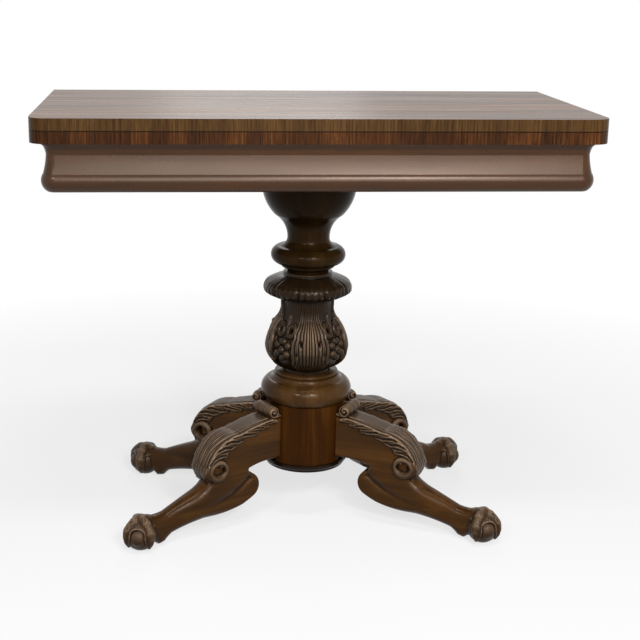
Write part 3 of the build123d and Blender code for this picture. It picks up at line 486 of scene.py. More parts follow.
def arc_run(points, step):
    """Points along a row of three-point arcs."""
    made = [np.array(points[0], float)]
    for i in range(0, len(points) - 2, 2):
        a, b, c = (np.array(p, float) for p in points[i : i + 3])
        ax, ay = b - a
        bx, by = c - a
        cross = 2 * (ax * by - ay * bx)
        if abs(cross) < 1e-6:
            made.append(c)
            continue
        near = ax * ax + ay * ay
        far = bx * bx + by * by
        centre = a + np.array([by * near - ay * far, ax * far - bx * near]) / cross
        start, middle, end = (math.atan2(*(p - centre)[::-1]) for p in (a, b, c))
        turn = (end - start) % (2 * math.pi)
        if (middle - start) % (2 * math.pi) > turn:
            turn -= 2 * math.pi
        radius = np.linalg.norm(a - centre)
        count = max(2, math.ceil(abs(turn) * radius / step))
        for j in range(1, count + 1):
            angle = start + turn * j / count
            made.append(centre + radius * np.array([math.cos(angle), math.sin(angle)]))
    return made


def evenly(points, step):
    """A run resampled at an even spacing."""
    points = np.array(points, float)
    lengths = run_lengths(points)
    count = max(2, math.ceil(lengths[-1] / step))
    at = np.linspace(0, lengths[-1], count + 1)
    return np.stack([np.interp(at, lengths, points[:, i]) for i in range(2)], 1)


def eased(points, passes):
    """A run with its sharp corners rounded, and its two ends kept."""
    points = points.copy()
    for _ in range(passes):
        points[1:-1] = 0.5 * points[1:-1] + 0.25 * (points[:-2] + points[2:])
    return points


def spread(shares, low, high, height, base):
    return [(low + a * (high - low), base + b * height) for a, b in shares]


def tube_quads(rows, sides):
    """The quads between each two rings of a tube's points."""
    i, j = np.meshgrid(np.arange(rows - 1), np.arange(sides), indexing="ij")
    k = (j + 1) % sides
    low, high = i * sides, (i + 1) * sides
    return np.stack([low + j, low + k, high + k, high + j], 2).reshape(-1, 4)


def turned(name, profile, sides, relief=None, shape=None):
    """A turned piece from its outline, with relief pushed out square to it. Its two ends are closed."""
    along_run = np.gradient(profile, axis=0)
    length = np.maximum(np.linalg.norm(along_run, axis=1), 1e-9)
    outward = np.stack([along_run[:, 1], -along_run[:, 0]], 1) / length[:, None]
    theta = np.linspace(0, 2 * math.pi, sides, endpoint=False)[None, :]
    radius = np.repeat(profile[:, :1], sides, 1)
    height = np.repeat(profile[:, 1:], sides, 1)
    if relief is not None:
        push = relief(theta, height, radius)
        radius = radius + push * outward[:, :1]
        height = height + push * outward[:, 1:]
    if shape is not None:
        radius, height = shape(theta, radius, height)
    points = np.stack([radius * np.cos(theta), radius * np.sin(theta), height], 2).reshape(-1, 3)
    quads = tube_quads(len(profile), sides)
    bottom = list(range(sides))[::-1]
    top = list(range(len(points) - sides, len(points)))
    mesh = build_mesh(name, points, quads, [bottom, top])
    write_depth(mesh, points, quads)
    return mesh


def new_object(name, data):
    made = bpy.data.objects.new(name, data)
    bpy.context.scene.collection.objects.link(made)
    return made


def place(name, mesh, material, node, body="base", angle=0):
    """Puts a piece, turned about the column's axis, in the scene in place of the node that it stands for."""
    piece = new_object(name, mesh)
    piece.matrix_world = Matrix.Rotation(math.radians(angle), 4, "Z")
    if not mesh.materials:
        mesh.materials.append(material)
    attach(piece, body)
    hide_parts(node)
    return piece


# Turned and carved pedestal


def column_profile():
    height = frame_z - column_z
    band_low = (column_band_radius, column_z + height * band_low_share)
    band_high = (column_band_radius, column_z + height * band_high_share)
    foot_top = (column_foot_radius + column_foot_flare, band_low[1])
    foot_middle = (column_foot_radius + column_foot_flare / 4, column_z + height * band_low_share / 2)
    ring = [band_high] + spread(ring_shares, column_neck_radius, column_ring_radius, height, column_z)
    vase = spread(vase_shares, column_neck_radius, column_top_radius, height, column_z)
    run = [(column_foot_radius, column_z)]
    run += arc_run([(column_foot_radius, column_z), foot_middle, foot_top], 1.0)
    run += [band_low, band_high]
    run += arc_run(ring, 1.0)
    run += arc_run(vase, 1.5)
    return eased(evenly(run, 1.2), 2)


def make_column():
    mesh = turned("column", column_profile(), plain_sides)
    place("turned_column", mesh, wood_column, "column_post")


def moulding_profile():
    height = baluster_z - moulding_z
    dome = spread(dome_shares, 0, moulding_radius, height, moulding_z)
    hollow = spread(hollow_shares, 0, moulding_radius, height, moulding_z)
    ring_z = moulding_z + height * moulding_ring_share
    ring_half = baluster_z - ring_z
    foot = (moulding_ring_radius - ring_half, ring_z - ring_half)
    top = (moulding_ring_radius - ring_half, baluster_z)
    run = [(spigot_radius, moulding_z)] + arc_run(dome, 1.0) + arc_run(hollow, 1.0)
    run += arc_run([foot, (moulding_ring_radius, ring_z), top], 0.6)
    run += [(spigot_radius, baluster_z)]
    return eased(evenly(run, 0.9), 1)


def make_moulding():
    mesh = turned("moulding", moulding_profile(), plain_sides)
    place("base_ring_moulding", mesh, wood_moulding, "base_moulding")


# Carving of the collar: places as shares of its height and of half a leaf, sizes in millimetres
lip_level, lip_half, lip_underside = 0.24, 0.3, 0.2
groove_width, groove_depth = 0.13, 1.6
rib_width, rib_height = 0.14, 0.5
vein_height, vein_waves, vein_end = 0.15, 2.5, 0.9
lobe_roundness, lobe_depth = 0.6, 2.6
lobe_waves = [(0.3, 7, 1.0), (0.2, 17, 0)]
notch_depth, notch_start, notch_span = 3.4, 0.72, 0.28
lobe_curl, middle_curl = 1.4, 0.8
relief_out, relief_up = 0.8, 0.5
curl_out, curl_down = 0.6, 0.7
scallop_up = 0.3
# the collar's carving mask, which sets its dust with painted light from above, its painted edge highlight and
# its carved colour
collar_dust_top_light = 0.1


def collar_profile():
    height = column_z - collar_z
    rim = (collar_radius - collar_lip, collar_z + height * collar_rim_share)
    under = spread(collar_under_shares, collar_foot_radius, collar_radius, height, collar_z)
    over = [rim] + spread(collar_over_shares, collar_neck_radius, collar_radius, height, collar_z)
    run = arc_run(under + [rim], 1.0) + arc_run(over, 1.0)
    run += [(over[-1][0], column_z), (spigot_radius, column_z)]
    return eased(evenly([(spigot_radius, collar_z)] + run, 0.9), 2)


def collar_shape(theta, radius, height):
    """Drooping leaves: a groove between each two, a mid rib, and a lobed lip that curls down."""
    share = (theta / (2 * math.pi / collar_leaf_count)) % 1.0
    from_middle = np.abs(share - 0.5) * 2
    outward = unit((radius - collar_neck_radius) / (collar_radius - collar_neck_radius))
    tall = column_z - collar_z
    lip = unit(1 - np.abs(height - collar_z - tall * lip_level) / (tall * lip_half)) * outward
    over = height > collar_z + tall * lip_underside
    groove = bell(1 - from_middle, groove_width) * groove_depth
    rib = bell(from_middle, rib_width) * rib_height
    veins = vein_height * np.cos(2 * math.pi * vein_waves * from_middle) * (from_middle < vein_end)
    relief = (rib - groove + veins) * outward * over
    lobe = np.abs(np.sin(math.pi * collar_lobes_per_leaf * share))
    uneven = sum((size * np.sin(count * theta + start) for size, count, start in lobe_waves), 1)
    notch = notch_depth * unit(from_middle - notch_start) / notch_span
    scallop = (1 - lobe**lobe_roundness) * lobe_depth * uneven + notch
    curl = lip * (lobe_curl * lobe + middle_curl * (1 - from_middle))
    radius = radius + relief * relief_out - scallop * lip + curl * curl_out
    height = height + relief * relief_up * outward - curl * curl_down + lip * scallop * scallop_up
    return radius, height


def make_collar():
    mesh = turned("collar", collar_profile(), carved_sides, shape=collar_shape)
    write_attribute(mesh, "leaf", np.full(len(mesh.vertices), collar_dust_top_light))
    place("drooping_leaf_collar", mesh, wood_carved, "leaf_collar")


# Carving of the baluster's leaves: places as shares of its height and of a leaf's half width
leaf_half_width = 36.0
leaf_width_shares = [(0.03, 0.45), (0.2, 0.9), (0.4, 1), (0.58, 0.8), (0.74, 0.5), (0.9, 0.42), (1, 0.4)]
leaf_lobes, leaf_lobe_share = 7.5, 0.04
leaf_edge_slope = 1.6
leaf_thickness = 0.6
leaf_flutes, flute_rise, flute_fan, flute_roundness = 5.5, 3.0, 0.85, 0.7
fine_flutes, fine_rise = 22, 0.25
rolled_place, rolled_width, rolled_rise = 0.86, 0.12, 2.2
leaf_root_share, leaf_root_least = 0.22, 0.25
leaf_end_shares = [(0.6, 1), (0.85, 0.5), (1, 0.4)]
ground_depths = [(0, 0), (0.2, 4.0), (0.6, 3.5), (0.8, 1.0)]
stalk_stripes, stripe_depth = 32, 0.7
stripe_shares = [(0.5, 0), (0.65, 1), (0.9, 1), (1, 0)]
# where the baluster's carving gets dust with painted light from above, painted edge highlight and the carved
# colour: angle from each leaf's middle, least share, and shares by height
dust_top_light_angle, dust_top_light_least = 0.42, 0.12
dust_top_light_shares = [(0, 0.3), (0.15, 1), (0.6, 1), (0.75, 0.25), (1, 0)]
# Drilled eyes on both sides of a leaf: distance from its middle, half width, level, half height and depth
leaf_eyes = [(16.5, 2.4, 0.47, 0.035, 6.5), (25.0, 2.0, 0.33, 0.03, 4.5)]
# Berries on each diagonal: distance from the diagonal, height and radius, and how far they stand out
berries = [(0, 35, 7.0), (11, 42, 8.0), (0, 50, 7.5), (12, 58, 7.0), (3, 65, 6.0)]
berry_rise = 1.05
# Curled leaf tips over the berries, in millimetres
curl_across, curl_level, curl_stretch = 12.0, 84.0, 1.25
curl_radius, curl_half, curl_rise = 6.5, 4.5, 5.0
curl_eye_radius, curl_eye_depth = 3.0, 5.0
tip_level, tip_half_width, tip_half_height, tip_rise = 96.0, 5.0, 16.0, 4.0


def baluster_profile():
    run = [(baluster_foot_radius, baluster_z)]
    swell = spread(baluster_shares, baluster_foot_radius, baluster_radius, baluster_height, baluster_z)
    run += arc_run(swell, 1.0)
    run += [(baluster_neck_radius, collar_z)]
    return eased(evenly(run, 0.8), 2)


def from_leaf(theta):
    """The angle from the middle of the nearest of the four leaves."""
    return (theta + math.pi / 4) % (math.pi / 2) - math.pi / 4


def baluster_relief(theta, height, radius):
    """Four broad leaves with fanned flutes and drilled eyes, and a heap of berries between each two."""
    up = (height - baluster_z) / baluster_height
    turn = from_leaf(theta)
    across = turn * radius
    width = leaf_half_width * graded(up, leaf_width_shares)
    lobes = 1 + leaf_lobe_share * np.abs(np.sin(math.pi * up * leaf_lobes)) - leaf_lobe_share / 2
    q = across / (width * lobes)
    inside = unit((1 - np.abs(q)) * width / leaf_edge_slope)
    fanned = leaf_flutes * np.sign(q) * np.abs(q) ** flute_fan
    flutes = 1 - grooves(fanned, 1, flute_roundness)
    ends = np.clip(up / leaf_root_share, leaf_root_least, 1) * graded(up, leaf_end_shares)
    rolled = rolled_rise * bell(np.abs(q) - rolled_place, rolled_width)
    fine = fine_rise * np.cos(math.pi * fine_flutes * q)
    leaf = inside * (leaf_thickness + flute_rise * flutes + rolled + fine) * ends
    for side in (-1, 1):
        for off, half_width, level, half_height, depth in leaf_eyes:
            leaf -= depth * bell(across - side * off, half_width) * bell(up - level, half_height) * inside
    ground = (1 - inside) * graded(up, ground_depths)
    stripes = -stripe_depth * grooves(stalk_stripes * theta, math.pi, flute_roundness)
    stripes = stripes * (1 - inside) * graded(up, stripe_shares)
    return leaf - ground + stripes + diagonal_relief(turn, radius, up)


def diagonal_relief(turn, radius, up):
    """A heap of berries on each diagonal, under two curled leaf tips."""
    x = (math.pi / 4 - np.abs(turn)) * radius
    z = up * baluster_height
    made = np.zeros(np.broadcast(x, z).shape)
    for px, pz, size in berries:
        square = (x - px) ** 2 + (z - pz) ** 2
        made = np.maximum(made, np.sqrt(np.maximum(size**2 - square, 0)) * berry_rise)
    ring = np.hypot(x - curl_across, (z - curl_level) / curl_stretch)
    curl = curl_rise * arch(ring - curl_radius, curl_half)
    tip = tip_rise * arch(np.hypot(x / tip_half_width, (z - tip_level) / tip_half_height), 1)
    return np.maximum(np.maximum(made, curl), tip) - curl_eye_depth * bell(ring, curl_eye_radius)


def make_baluster():
    mesh = turned("baluster", baluster_profile(), carved_sides, relief=baluster_relief)
    points = np.array([v.co for v in mesh.vertices]) / mm
    turn = from_leaf(np.arctan2(points[:, 1], points[:, 0]))
    up = (points[:, 2] - baluster_z) / baluster_height
    # mask of dust with painted light from above, and of the other carving colours, on the baluster's leaves
    dusty_and_top_lit = bell(turn, dust_top_light_angle) * graded(up, dust_top_light_shares)
    write_attribute(mesh, "leaf", dust_top_light_least + (1 - dust_top_light_least) * dusty_and_top_lit)
    place("carved_baluster", mesh, wood_carved, "baluster")


# Legs: a field of signed distances on a grid of small cells, and the surface where it is zero


def polygon_distance(x, z, polygon):
    """Signed distance to a closed outline, negative inside."""
    nearest = np.full(x.shape, 1e18)
    inside = np.zeros(x.shape, bool)
    for (ax, az), (bx, bz) in zip(polygon, np.roll(polygon, -1, axis=0)):
        ex, ez = bx - ax, bz - az
        square = ex * ex + ez * ez
        if square < 1e-12:
            continue
        t = np.clip(((x - ax) * ex + (z - az) * ez) / square, 0, 1)
        nearest = np.minimum(nearest, (x - ax - t * ex) ** 2 + (z - az - t * ez) ** 2)
        crosses = (az > z) != (bz > z)
        slope = ex / ez if ez else 0.0
        inside ^= crosses & (x < ax + (z - az) * slope)
    return np.where(inside, -1, 1) * np.sqrt(nearest)


def run_coordinates(x, z, run):
    """Length along an open run at the nearest point, and how far to its right."""
    lengths = run_lengths(run)
    best = np.full(x.shape, 1e18)
    along_run = np.zeros(x.shape)
    side = np.zeros(x.shape)
    for (ax, az), (bx, bz), start in zip(run, run[1:], lengths):
        ex, ez = bx - ax, bz - az
        size = math.hypot(ex, ez)
        t = np.clip(((x - ax) * ex + (z - az) * ez) / size**2, 0, 1)
        dx, dz = x - ax - t * ex, z - az - t * ez
        square = dx * dx + dz * dz
        closer = square < best
        best = np.where(closer, square, best)
        along_run = np.where(closer, start + t * size, along_run)
        side = np.where(closer, np.sign(ez * dx - ex * dz), side)
    return along_run, side * np.sqrt(best)


def rounded(flat, over, radius):
    """A slab's distance from that of its outline and of its faces, with its edges rounded."""
    a = flat + radius
    b = over + radius
    return np.minimum(np.maximum(a, b), 0) + np.hypot(np.maximum(a, 0), np.maximum(b, 0)) - radius


def joined(a, b, blend):
    """The union of two fields, with a fillet."""
    h = np.clip(0.5 + 0.5 * (b - a) / blend, 0, 1)
    return b + (a - b) * h - blend * h * (1 - h)


def cut(a, b, blend):
    """Where two fields are both inside, with a rounded edge."""
    return -joined(-a, -b, blend)


def finger(x, y, z, points, flatness=1.0):
    """A tapering rod through points of (x, y, z, radius), pressed flat across the leg."""
    made = None
    for (ax, ay, az, ar), (bx, by, bz, br) in zip(points, points[1:]):
        ex, ey, ez = bx - ax, (by - ay) / flatness, bz - az
        px, py, pz = x - ax, (y - ay) / flatness, z - az
        t = np.clip((px * ex + py * ey + pz * ez) / (ex * ex + ey * ey + ez * ez), 0, 1)
        rod = np.sqrt((px - t * ex) ** 2 + (py - t * ey) ** 2 + (pz - t * ez) ** 2) - (ar + t * (br - ar))
        made = rod if made is None else joined(made, rod, 1.0)
    return made


def leg_run(shares):
    return [(a * leg_reach, b * leg_rise) for a, b in shares]


def arm_outline(ball):
    under = arc_run(leg_run(under_shares), 3.0)
    shin = arc_run(leg_run(shin_shares), 3.0)
    instep = arc_run(leg_run(instep_shares), 3.0)
    back = arc_run(leg_run(back_shares), 3.0)
    return np.array(under + shin + leg_run([pad_share]) + [np.array(ball)] + instep + back)


# Arm and shin: rounding of the corners, and the hollow above the heel's roll, in millimetres
corner, corner_gain, corner_start, corner_span = 4.0, 18.0, 150, 80
hollow_depth, hollow_half, hollow_shift = 4.0, 6.5, 1.5
hollow_start, hollow_end, hollow_fade = 8, 130, 90


def arm_field(x, y, flat, ridge):
    """Arm and shin: square in the arm, round and thin at the ankle, with a hollow above the heel's roll."""
    start, end = (share * leg_reach for share in taper_shares)
    share = unit((x - start) / (end - start))
    half = leg_half + (ankle_half - leg_half) * share * share * (3 - 2 * share)
    radius = np.minimum(corner + corner_gain * unit((x - corner_start) / corner_span), half - 1.0)
    along_ridge, off_ridge = ridge
    fade = unit(along_ridge / hollow_start) * unit((hollow_end - along_ridge) / hollow_fade)
    hollow = hollow_depth * fade * bell(off_ridge + hollow_shift, hollow_half)
    return rounded(flat, np.abs(y) - half, radius) + hollow


# The leaf grows up from the knee. Its tips hang over each side and point back to the drum:
# points of (distance out, height, half width) from each one's root to its tip.
side_lobes = [
    [(226, 118, 4.0), (221, 134, 6.0), (211, 145, 7.2), (200, 148, 7.4), (189, 147, 5.8), (184, 151, 4.2)],
    [
        (228, 131, 4.0), (221, 146, 6.5), (208, 157, 8.0), (192, 161.5, 8.6),
        (178, 160, 7.4), (168, 162, 5.4), (166, 168, 3.8),
    ],
    [
        (222, 149, 4.5), (212, 160, 6.8), (196, 167.5, 8.0), (179, 170.5, 8.2),
        (163, 168, 7.2), (152, 168.5, 5.2), (148, 174, 3.6),
    ],
    [
        (206, 164, 4.5), (194, 171, 6.4), (174, 176, 7.4), (151, 178, 7.6),
        (134, 175.5, 6.6), (123, 175, 4.8), (117, 179.5, 3.2),
    ],
    [(160, 181, 4.0), (142, 184, 6.0), (123, 185.5, 6.4), (110, 183, 5.4), (100, 182.5, 4.0)],
    [(122, 188, 3.6), (106, 190, 5.2), (92, 190, 5.0), (82, 187.5, 3.8)],
]
lobe_middle = 23.0
lobe_flatness = 0.9
lobe_cover = 2.0
channel_share, channel_out, channel_drop = 0.36, 0.3, 0.5
# The leaf's body, by the length along its crest: depth of its edge and half width of its middle panel
leaf_edge_depths = [(-20, 3), (0, 4), (40, 6), (80, 8), (105, 12), (125, 14), (140, 11), (155, 5)]
leaf_panel_halves = [(0, 21.0), (60, 17.0), (140, 4)]
leaf_rounding = 9.0
panel_slope, panel_edge = 0.6, 2.5
knee_start, knee_span, arm_flute_share = 60, 60, 0.35
flute_spacing, flute_depth, flute_sharpness = 8.6, 1.3, 0.8
line_spacing, line_depth = 5.4, 0.5
panel_rim_depth, panel_rim_width = 1.1, 1.2


def leaf_field(along_crest, depth, y):
    """The leaf's body: a cap over the arm's back, with a flat panel along its middle and flutes beside it."""
    cap = rounded(-depth, np.abs(y) - leaf_half, leaf_rounding)
    down = np.clip(depth, 0, None)
    edge = down - graded(along_crest, leaf_edge_depths)
    panel = graded(along_crest, leaf_panel_halves)
    off_panel = np.abs(y) + panel_slope * down - panel
    beside = unit(off_panel / panel_edge)
    flutes = flute_depth * grooves(np.abs(y) + down - panel, flute_spacing, flute_sharpness) * beside
    lines = line_depth * grooves(y, line_spacing) * (1 - beside)
    knee = arm_flute_share + (1 - arm_flute_share) * unit((along_crest - knee_start) / knee_span)
    groove = flutes * knee + lines + panel_rim_depth * bell(off_panel, panel_rim_width)
    return cut(cap + groove, edge, 1.5)


def lobes_field(x, y, z, depth):
    """The hanging tips, each with a channel along its middle, kept a little under the crest."""
    made = None
    for lobe in side_lobes:
        tip = finger(x, y, z, [(r, lobe_middle, h, w) for r, h, w in lobe], lobe_flatness)
        channel = []
        for r, h, w in lobe[1:-1]:
            side = lobe_middle + lobe_flatness * w + channel_out
            channel.append((r, side, h - channel_drop, w * channel_share))
        tip = np.maximum(tip, -finger(x, y, z, channel))
        made = tip if made is None else joined(made, tip, 0.5)
    return cut(made, lobe_cover - depth, 2.0)


# The knee's scroll at each quarter turn: radius, and middle and half width of its front band
volute_quarters = np.radians([0, 90, 180, 270, 360])
volute_radii = [28.0, 22.5, 20.5, 20.5, 28.0]
band_middles = [17.0, 15.0, 14.5, 14.0, 17.0]
band_halves = [6.0, 7.0, 5.5, 5.5, 6.0]
band_inset, band_rise = 6.0, 7.5
# A second band where the scroll is wide, its eye and the small curl over it
outer_inset, outer_half, outer_share, outer_start, outer_fade = 3.5, 4.0, 0.75, 23.5, 3
eye_half_width, eye_half_height, eye_lift, eye_depth = 11.0, 8.0, 0.5, 13.0
eye_rim, eye_wall = 1.1, 0.3
rim_drop, rim_inset, rim_fade = 3.0, 1.0, 2.5
scroll_flute_depth, scroll_flute_start, scroll_flute_fade = 0.8, 17, 4
pip_back, pip_lift, pip_inset, pip_flatness, pip_radius = 4.0, 9.5, 4.5, 1.1, 5.0


def volute_field(x, y, z):
    """The knee's scroll: its front band winds down, round and up again into a small curl over a deep eye."""
    cx, cz = leg_run([volute_share])[0]
    dx, dz = x - cx, z - cz - volute_lift
    rho = np.hypot(dx, dz)
    turn = np.mod(-np.arctan2(dz, dx), 2 * math.pi)
    outlines = (band_middles, band_halves, volute_radii)
    middle, width, limit = (np.interp(turn, volute_quarters, sizes) for sizes in outlines)
    outer = arch(rho - limit + outer_inset, outer_half) * unit((limit - outer_start) / outer_fade)
    band = np.maximum(arch(rho - middle, width), outer_share * outer)
    off_eye = np.hypot(dx / eye_half_width, (dz - eye_lift) / eye_half_height)
    eye = unit((eye_rim - off_eye) / eye_wall)
    outside = unit((rho - middle - width + rim_inset) / rim_fade)
    relief = volute_half - band_inset + band_rise * band - eye_depth * eye - rim_drop * outside
    flutes = scroll_flute_depth * grooves(y, flute_spacing)
    flutes = flutes * unit((rho - scroll_flute_start) / scroll_flute_fade)
    roll = rounded(rho - limit + flutes, np.abs(y) - relief, 2.5)
    side = (y - volute_half + pip_inset) / pip_flatness
    curl = np.sqrt((dx + pip_back) ** 2 + (dz - pip_lift) ** 2 + side**2) - pip_radius
    return joined(roll, curl, 0.5)


# The small roll against the drum: pitch and depth of its spiral, its three leaves and its waist
spiral_pitch, spiral_depth, spiral_sharpness = 7.0, 3.0, 1.5
wrap_depth, wrap_spacing = 1.4, 16.0
waist_depth = 1.0


def scroll_field(x, y, z):
    """The small roll at the top of the arm, against the drum, wrapped in three leaves."""
    cx = drum_radius + scroll_gap + scroll_radius
    cz = leg_rise - scroll_radius
    rho = np.hypot(x - cx, z - cz)
    phase = rho / spiral_pitch + np.arctan2(z - cz, x - cx) / (2 * math.pi)
    spiral = spiral_depth * grooves(phase, 1, spiral_sharpness) * unit((rho - 1.0) / 2)
    wrapped = wrap_depth * np.abs(np.sin(math.pi * (y + wrap_spacing / 2) / wrap_spacing)) ** 0.5 - wrap_depth
    waist = waist_depth * np.cos(math.pi * y / (2 * scroll_half))
    return rounded(rho - scroll_radius - wrapped - waist + waist_depth, np.abs(y) - scroll_half + spiral, 3.0)


# Foot: knuckles of each toe round the ball, by the angle from its top and the size
front_toe = [(-60, 10), (-30, 10), (0, 8.8), (24, 9.4), (46, 7.6), (64, 8.2)]
front_toe += [(86, 6.2), (106, 4.4), (124, 2.4)]
side_toe = [(-40, 8), (10, 9), (36, 9.4), (54, 8.2), (70, 9.2), (90, 7.4), (108, 5.4), (126, 3)]
back_toe = [(-62, 9.0), (-84, 7.4), (-104, 6.2), (-124, 3.4)]
side_toe_turn = 98
toe_steps = 5
toe_sink, toe_lift = 0.3, 2.2
paw_thickness = 2.8
window_turns = (48, 141)
window_half = 26.0
window_rise = 12.0
window_bottom_gain = 0.25
bulge_rise = 2.0
bulge_reach = 13.0
bulge_radius = 17.5
hair_depth, hair_start = 0.16, 8


def toe_field(x, y, z, centre, run, turn=0):
    """One toe of round knuckles, turned from the front."""
    alpha = math.radians(turn)
    points = []
    for angle, size in run:
        theta = math.radians(angle)
        reach = ball_radius - toe_sink * size + toe_lift
        out, side = reach * math.sin(theta) * math.cos(alpha), reach * math.sin(theta) * math.sin(alpha)
        points.append((centre[0] + out, side, centre[1] + reach * math.cos(theta), size))
    points = np.array(points)
    at = np.arange(0, len(points) - 1 + 1e-9, 1 / toe_steps)
    knuckles = np.stack([np.interp(at, np.arange(len(points)), points[:, i]) for i in range(4)], 1)
    return finger(x, y, z, knuckles.tolist())


def paw_field(x, y, z, centre, rho):
    """The paw's skin: a shell over the ball with a window between each two toes."""
    turn = np.degrees(np.arctan2(y, x - centre[0]))
    rise = np.degrees(np.arctan2(z - centre[1], np.hypot(x - centre[0], y)))
    shell = rho - ball_radius - paw_thickness
    scale = math.radians(1) * ball_radius
    low = np.minimum(rise, 0)
    for middle in window_turns:
        across = np.abs(turn - middle) * np.cos(np.radians(np.clip(rise, -60, 60)))
        arch = np.hypot(across, np.maximum(rise - window_rise, 0)) - window_half + window_bottom_gain * low
        shell = np.maximum(shell, -arch * scale)
    return shell


def bulge_field(x, y, z, centre):
    """The part of the ball that swells out between two toes."""
    turn, rise = math.radians(window_turns[0]), math.radians(bulge_rise)
    bx = centre[0] + bulge_reach * math.cos(rise) * math.cos(turn)
    by = bulge_reach * math.cos(rise) * math.sin(turn)
    bz = centre[1] + bulge_reach * math.sin(rise)
    return np.sqrt((x - bx) ** 2 + (y - by) ** 2 + (z - bz) ** 2) - bulge_radius


def foot_field(x, y, z, centre):
    """A ball gripped by four toes, cut flat where it stands."""
    rho = np.sqrt((x - centre[0]) ** 2 + y**2 + (z - centre[1]) ** 2)
    toes = toe_field(x, y, z, centre, front_toe)
    for run, turn in ((side_toe, side_toe_turn), (back_toe, 0)):
        toes = joined(toes, toe_field(x, y, z, centre, run, turn), 3.0)
    toes = joined(toes, paw_field(x, y, z, centre, rho), 2.0)
    hair = hair_depth * np.sin(y * 1.25 + 0.9 * np.sin(x * 0.5)) * np.sin(x * 0.8 + y * 0.5 + np.sin(z * 0.7))
    ball = np.minimum(rho - ball_radius, bulge_field(x, y, z, centre))
    return ball, toes + hair * unit((z - centre[1]) / hair_start)


def surface_nets(field, low, cell):
    """Points and quads of the surface where the field is zero."""
    inside = field < 0
    total = np.zeros(tuple(n - 1 for n in field.shape), np.uint8)
    corners = [(i, j, k) for i in (0, 1) for j in (0, 1) for k in (0, 1)]
    nx, ny, nz = total.shape
    for i, j, k in corners:
        total += inside[i : i + nx, j : j + ny, k : k + nz]
    active = (total > 0) & (total < 8)
    ix, iy, iz = np.nonzero(active)
    index = np.full(total.shape, -1, np.int64)
    index[ix, iy, iz] = np.arange(len(ix))
    values = np.stack([field[ix + i, iy + j, iz + k] for i, j, k in corners], 1)
    sums = np.zeros((len(ix), 3))
    count = np.zeros(len(ix))
    for a in range(8):
        for axis, b in ((0, a ^ 4), (1, a ^ 2), (2, a ^ 1)):
            if b < a:
                continue
            va, vb = values[:, a], values[:, b]
            crosses = (va < 0) != (vb < 0)
            t = np.where(crosses, va / np.where(crosses, va - vb, 1), 0)
            start = np.array(corners[a], float)
            point = np.repeat(start[None], len(ix), 0)
            point[:, axis] += t
            sums += point * crosses[:, None]
            count += crosses
    points = np.stack([ix, iy, iz], 1) + sums / count[:, None]
    points = points * cell + np.array(low)
    return points, net_quads(inside, index)


def net_quads(inside, index):
    """A quad round each cell edge that the surface crosses."""
    quads = []
    for axis in range(3):
        first = np.moveaxis(inside, axis, 0)
        crosses = first[:-1] != first[1:]
        cells = np.moveaxis(index, axis, 0)
        i, j, k = np.nonzero(crosses[:, 1:-1, 1:-1])
        j, k = j + 1, k + 1
        ring = np.stack([cells[i, j - 1, k - 1], cells[i, j, k - 1], cells[i, j, k], cells[i, j - 1, k]], 1)
        flip = first[i, j, k] == (axis == 1)
        ring[flip] = ring[flip][:, ::-1]
        quads.append(ring)
    quads = np.concatenate(quads)
    return quads[(quads >= 0).all(1)]


def leg_fields(xs, ys, zs):
    """The whole leg's field, and how much of each cell is carved leaf, scroll or foot."""
    x, y, z = xs[:, None, None], ys[None, :, None], zs[None, None, :]
    flat_x, flat_z = np.broadcast_arrays(xs[:, None], zs[None, :])
    centre = (leg_reach - ball_radius - toe_radius, ball_radius - ball_flat)
    side = polygon_distance(flat_x, flat_z, arm_outline(centre))[:, None, :]
    ridge_run = evenly(arc_run(leg_run(ridge_shares), 3.0), 4.0)
    ridge = [a[:, None, :] for a in run_coordinates(flat_x, flat_z, ridge_run)]
    crest = evenly(arc_run(leg_run(crest_shares), 2.0), 3.0)
    along_crest, depth = (a[:, None, :] for a in run_coordinates(flat_x, flat_z, crest))
    along_crest = along_crest - (drum_radius + scroll_gap + scroll_radius - crest[0][0])
    arm = arm_field(x, y, side, ridge)
    knee = xs < 245
    foot = xs > 285
    carved = np.full(arm.shape, 1e3)
    body = arm.copy()
    for field, blend in (
        (leaf_field(along_crest[knee], depth[knee], y), 0.8),
        (lobes_field(x[knee], y, z, depth[knee]), 0.4),
        (volute_field(x[knee], y, z), 0.8),
        (scroll_field(x[knee], y, z), 1.2),
    ):
        body[knee] = joined(body[knee], field, blend)
        carved[knee] = np.minimum(carved[knee], field)
    ball, toes = foot_field(x[foot], y, z, centre)
    body[foot] = joined(joined(body[foot], toes, 4.0), ball, 0.5)
    carved[foot] = np.minimum(ball, toes)
    body = np.maximum(body, drum_radius + 0.2 - np.hypot(x, y))
    return np.maximum(body, -z), np.clip(0.5 - (carved - arm) / 2.0, 0, 1)


def leg_mesh():
    """One leg along +X from the column's axis: half of it is worked out, and mirrored."""
    cell = leg_voxel
    low = (drum_radius - 4.0, 0.0, -3.0)
    high = (leg_reach + 4.0, ball_radius + 14.0, leg_rise + 4.0)
    xs, ys, zs = (np.arange(a, b, cell) for a, b in zip(low, high))
    body, leafy = leg_fields(xs, ys, zs)
    full = np.concatenate([body[:, :0:-1, :], body], axis=1)
    points, quads = surface_nets(full, (low[0], -ys[-1], low[2]), cell)
    points = relaxed(relaxed(points, quads, 1, 0.5), quads, 1, -0.35)
    mesh = build_mesh("leg", points, quads, [])
    write_depth(mesh, points, quads)
    cells = []
    for v, a, n in zip((points[:, 0], np.abs(points[:, 1]), points[:, 2]), low, body.shape):
        cells.append(np.clip(((v - a) / cell).round().astype(int), 0, n - 1))
    write_attribute(mesh, "leaf", leafy[tuple(cells)])
    return mesh


def make_legs():
    mesh = leg_mesh()
    for node, angle in leg_angles.items():
        place("carved_" + node, mesh, wood_leg, node, angle=angle)


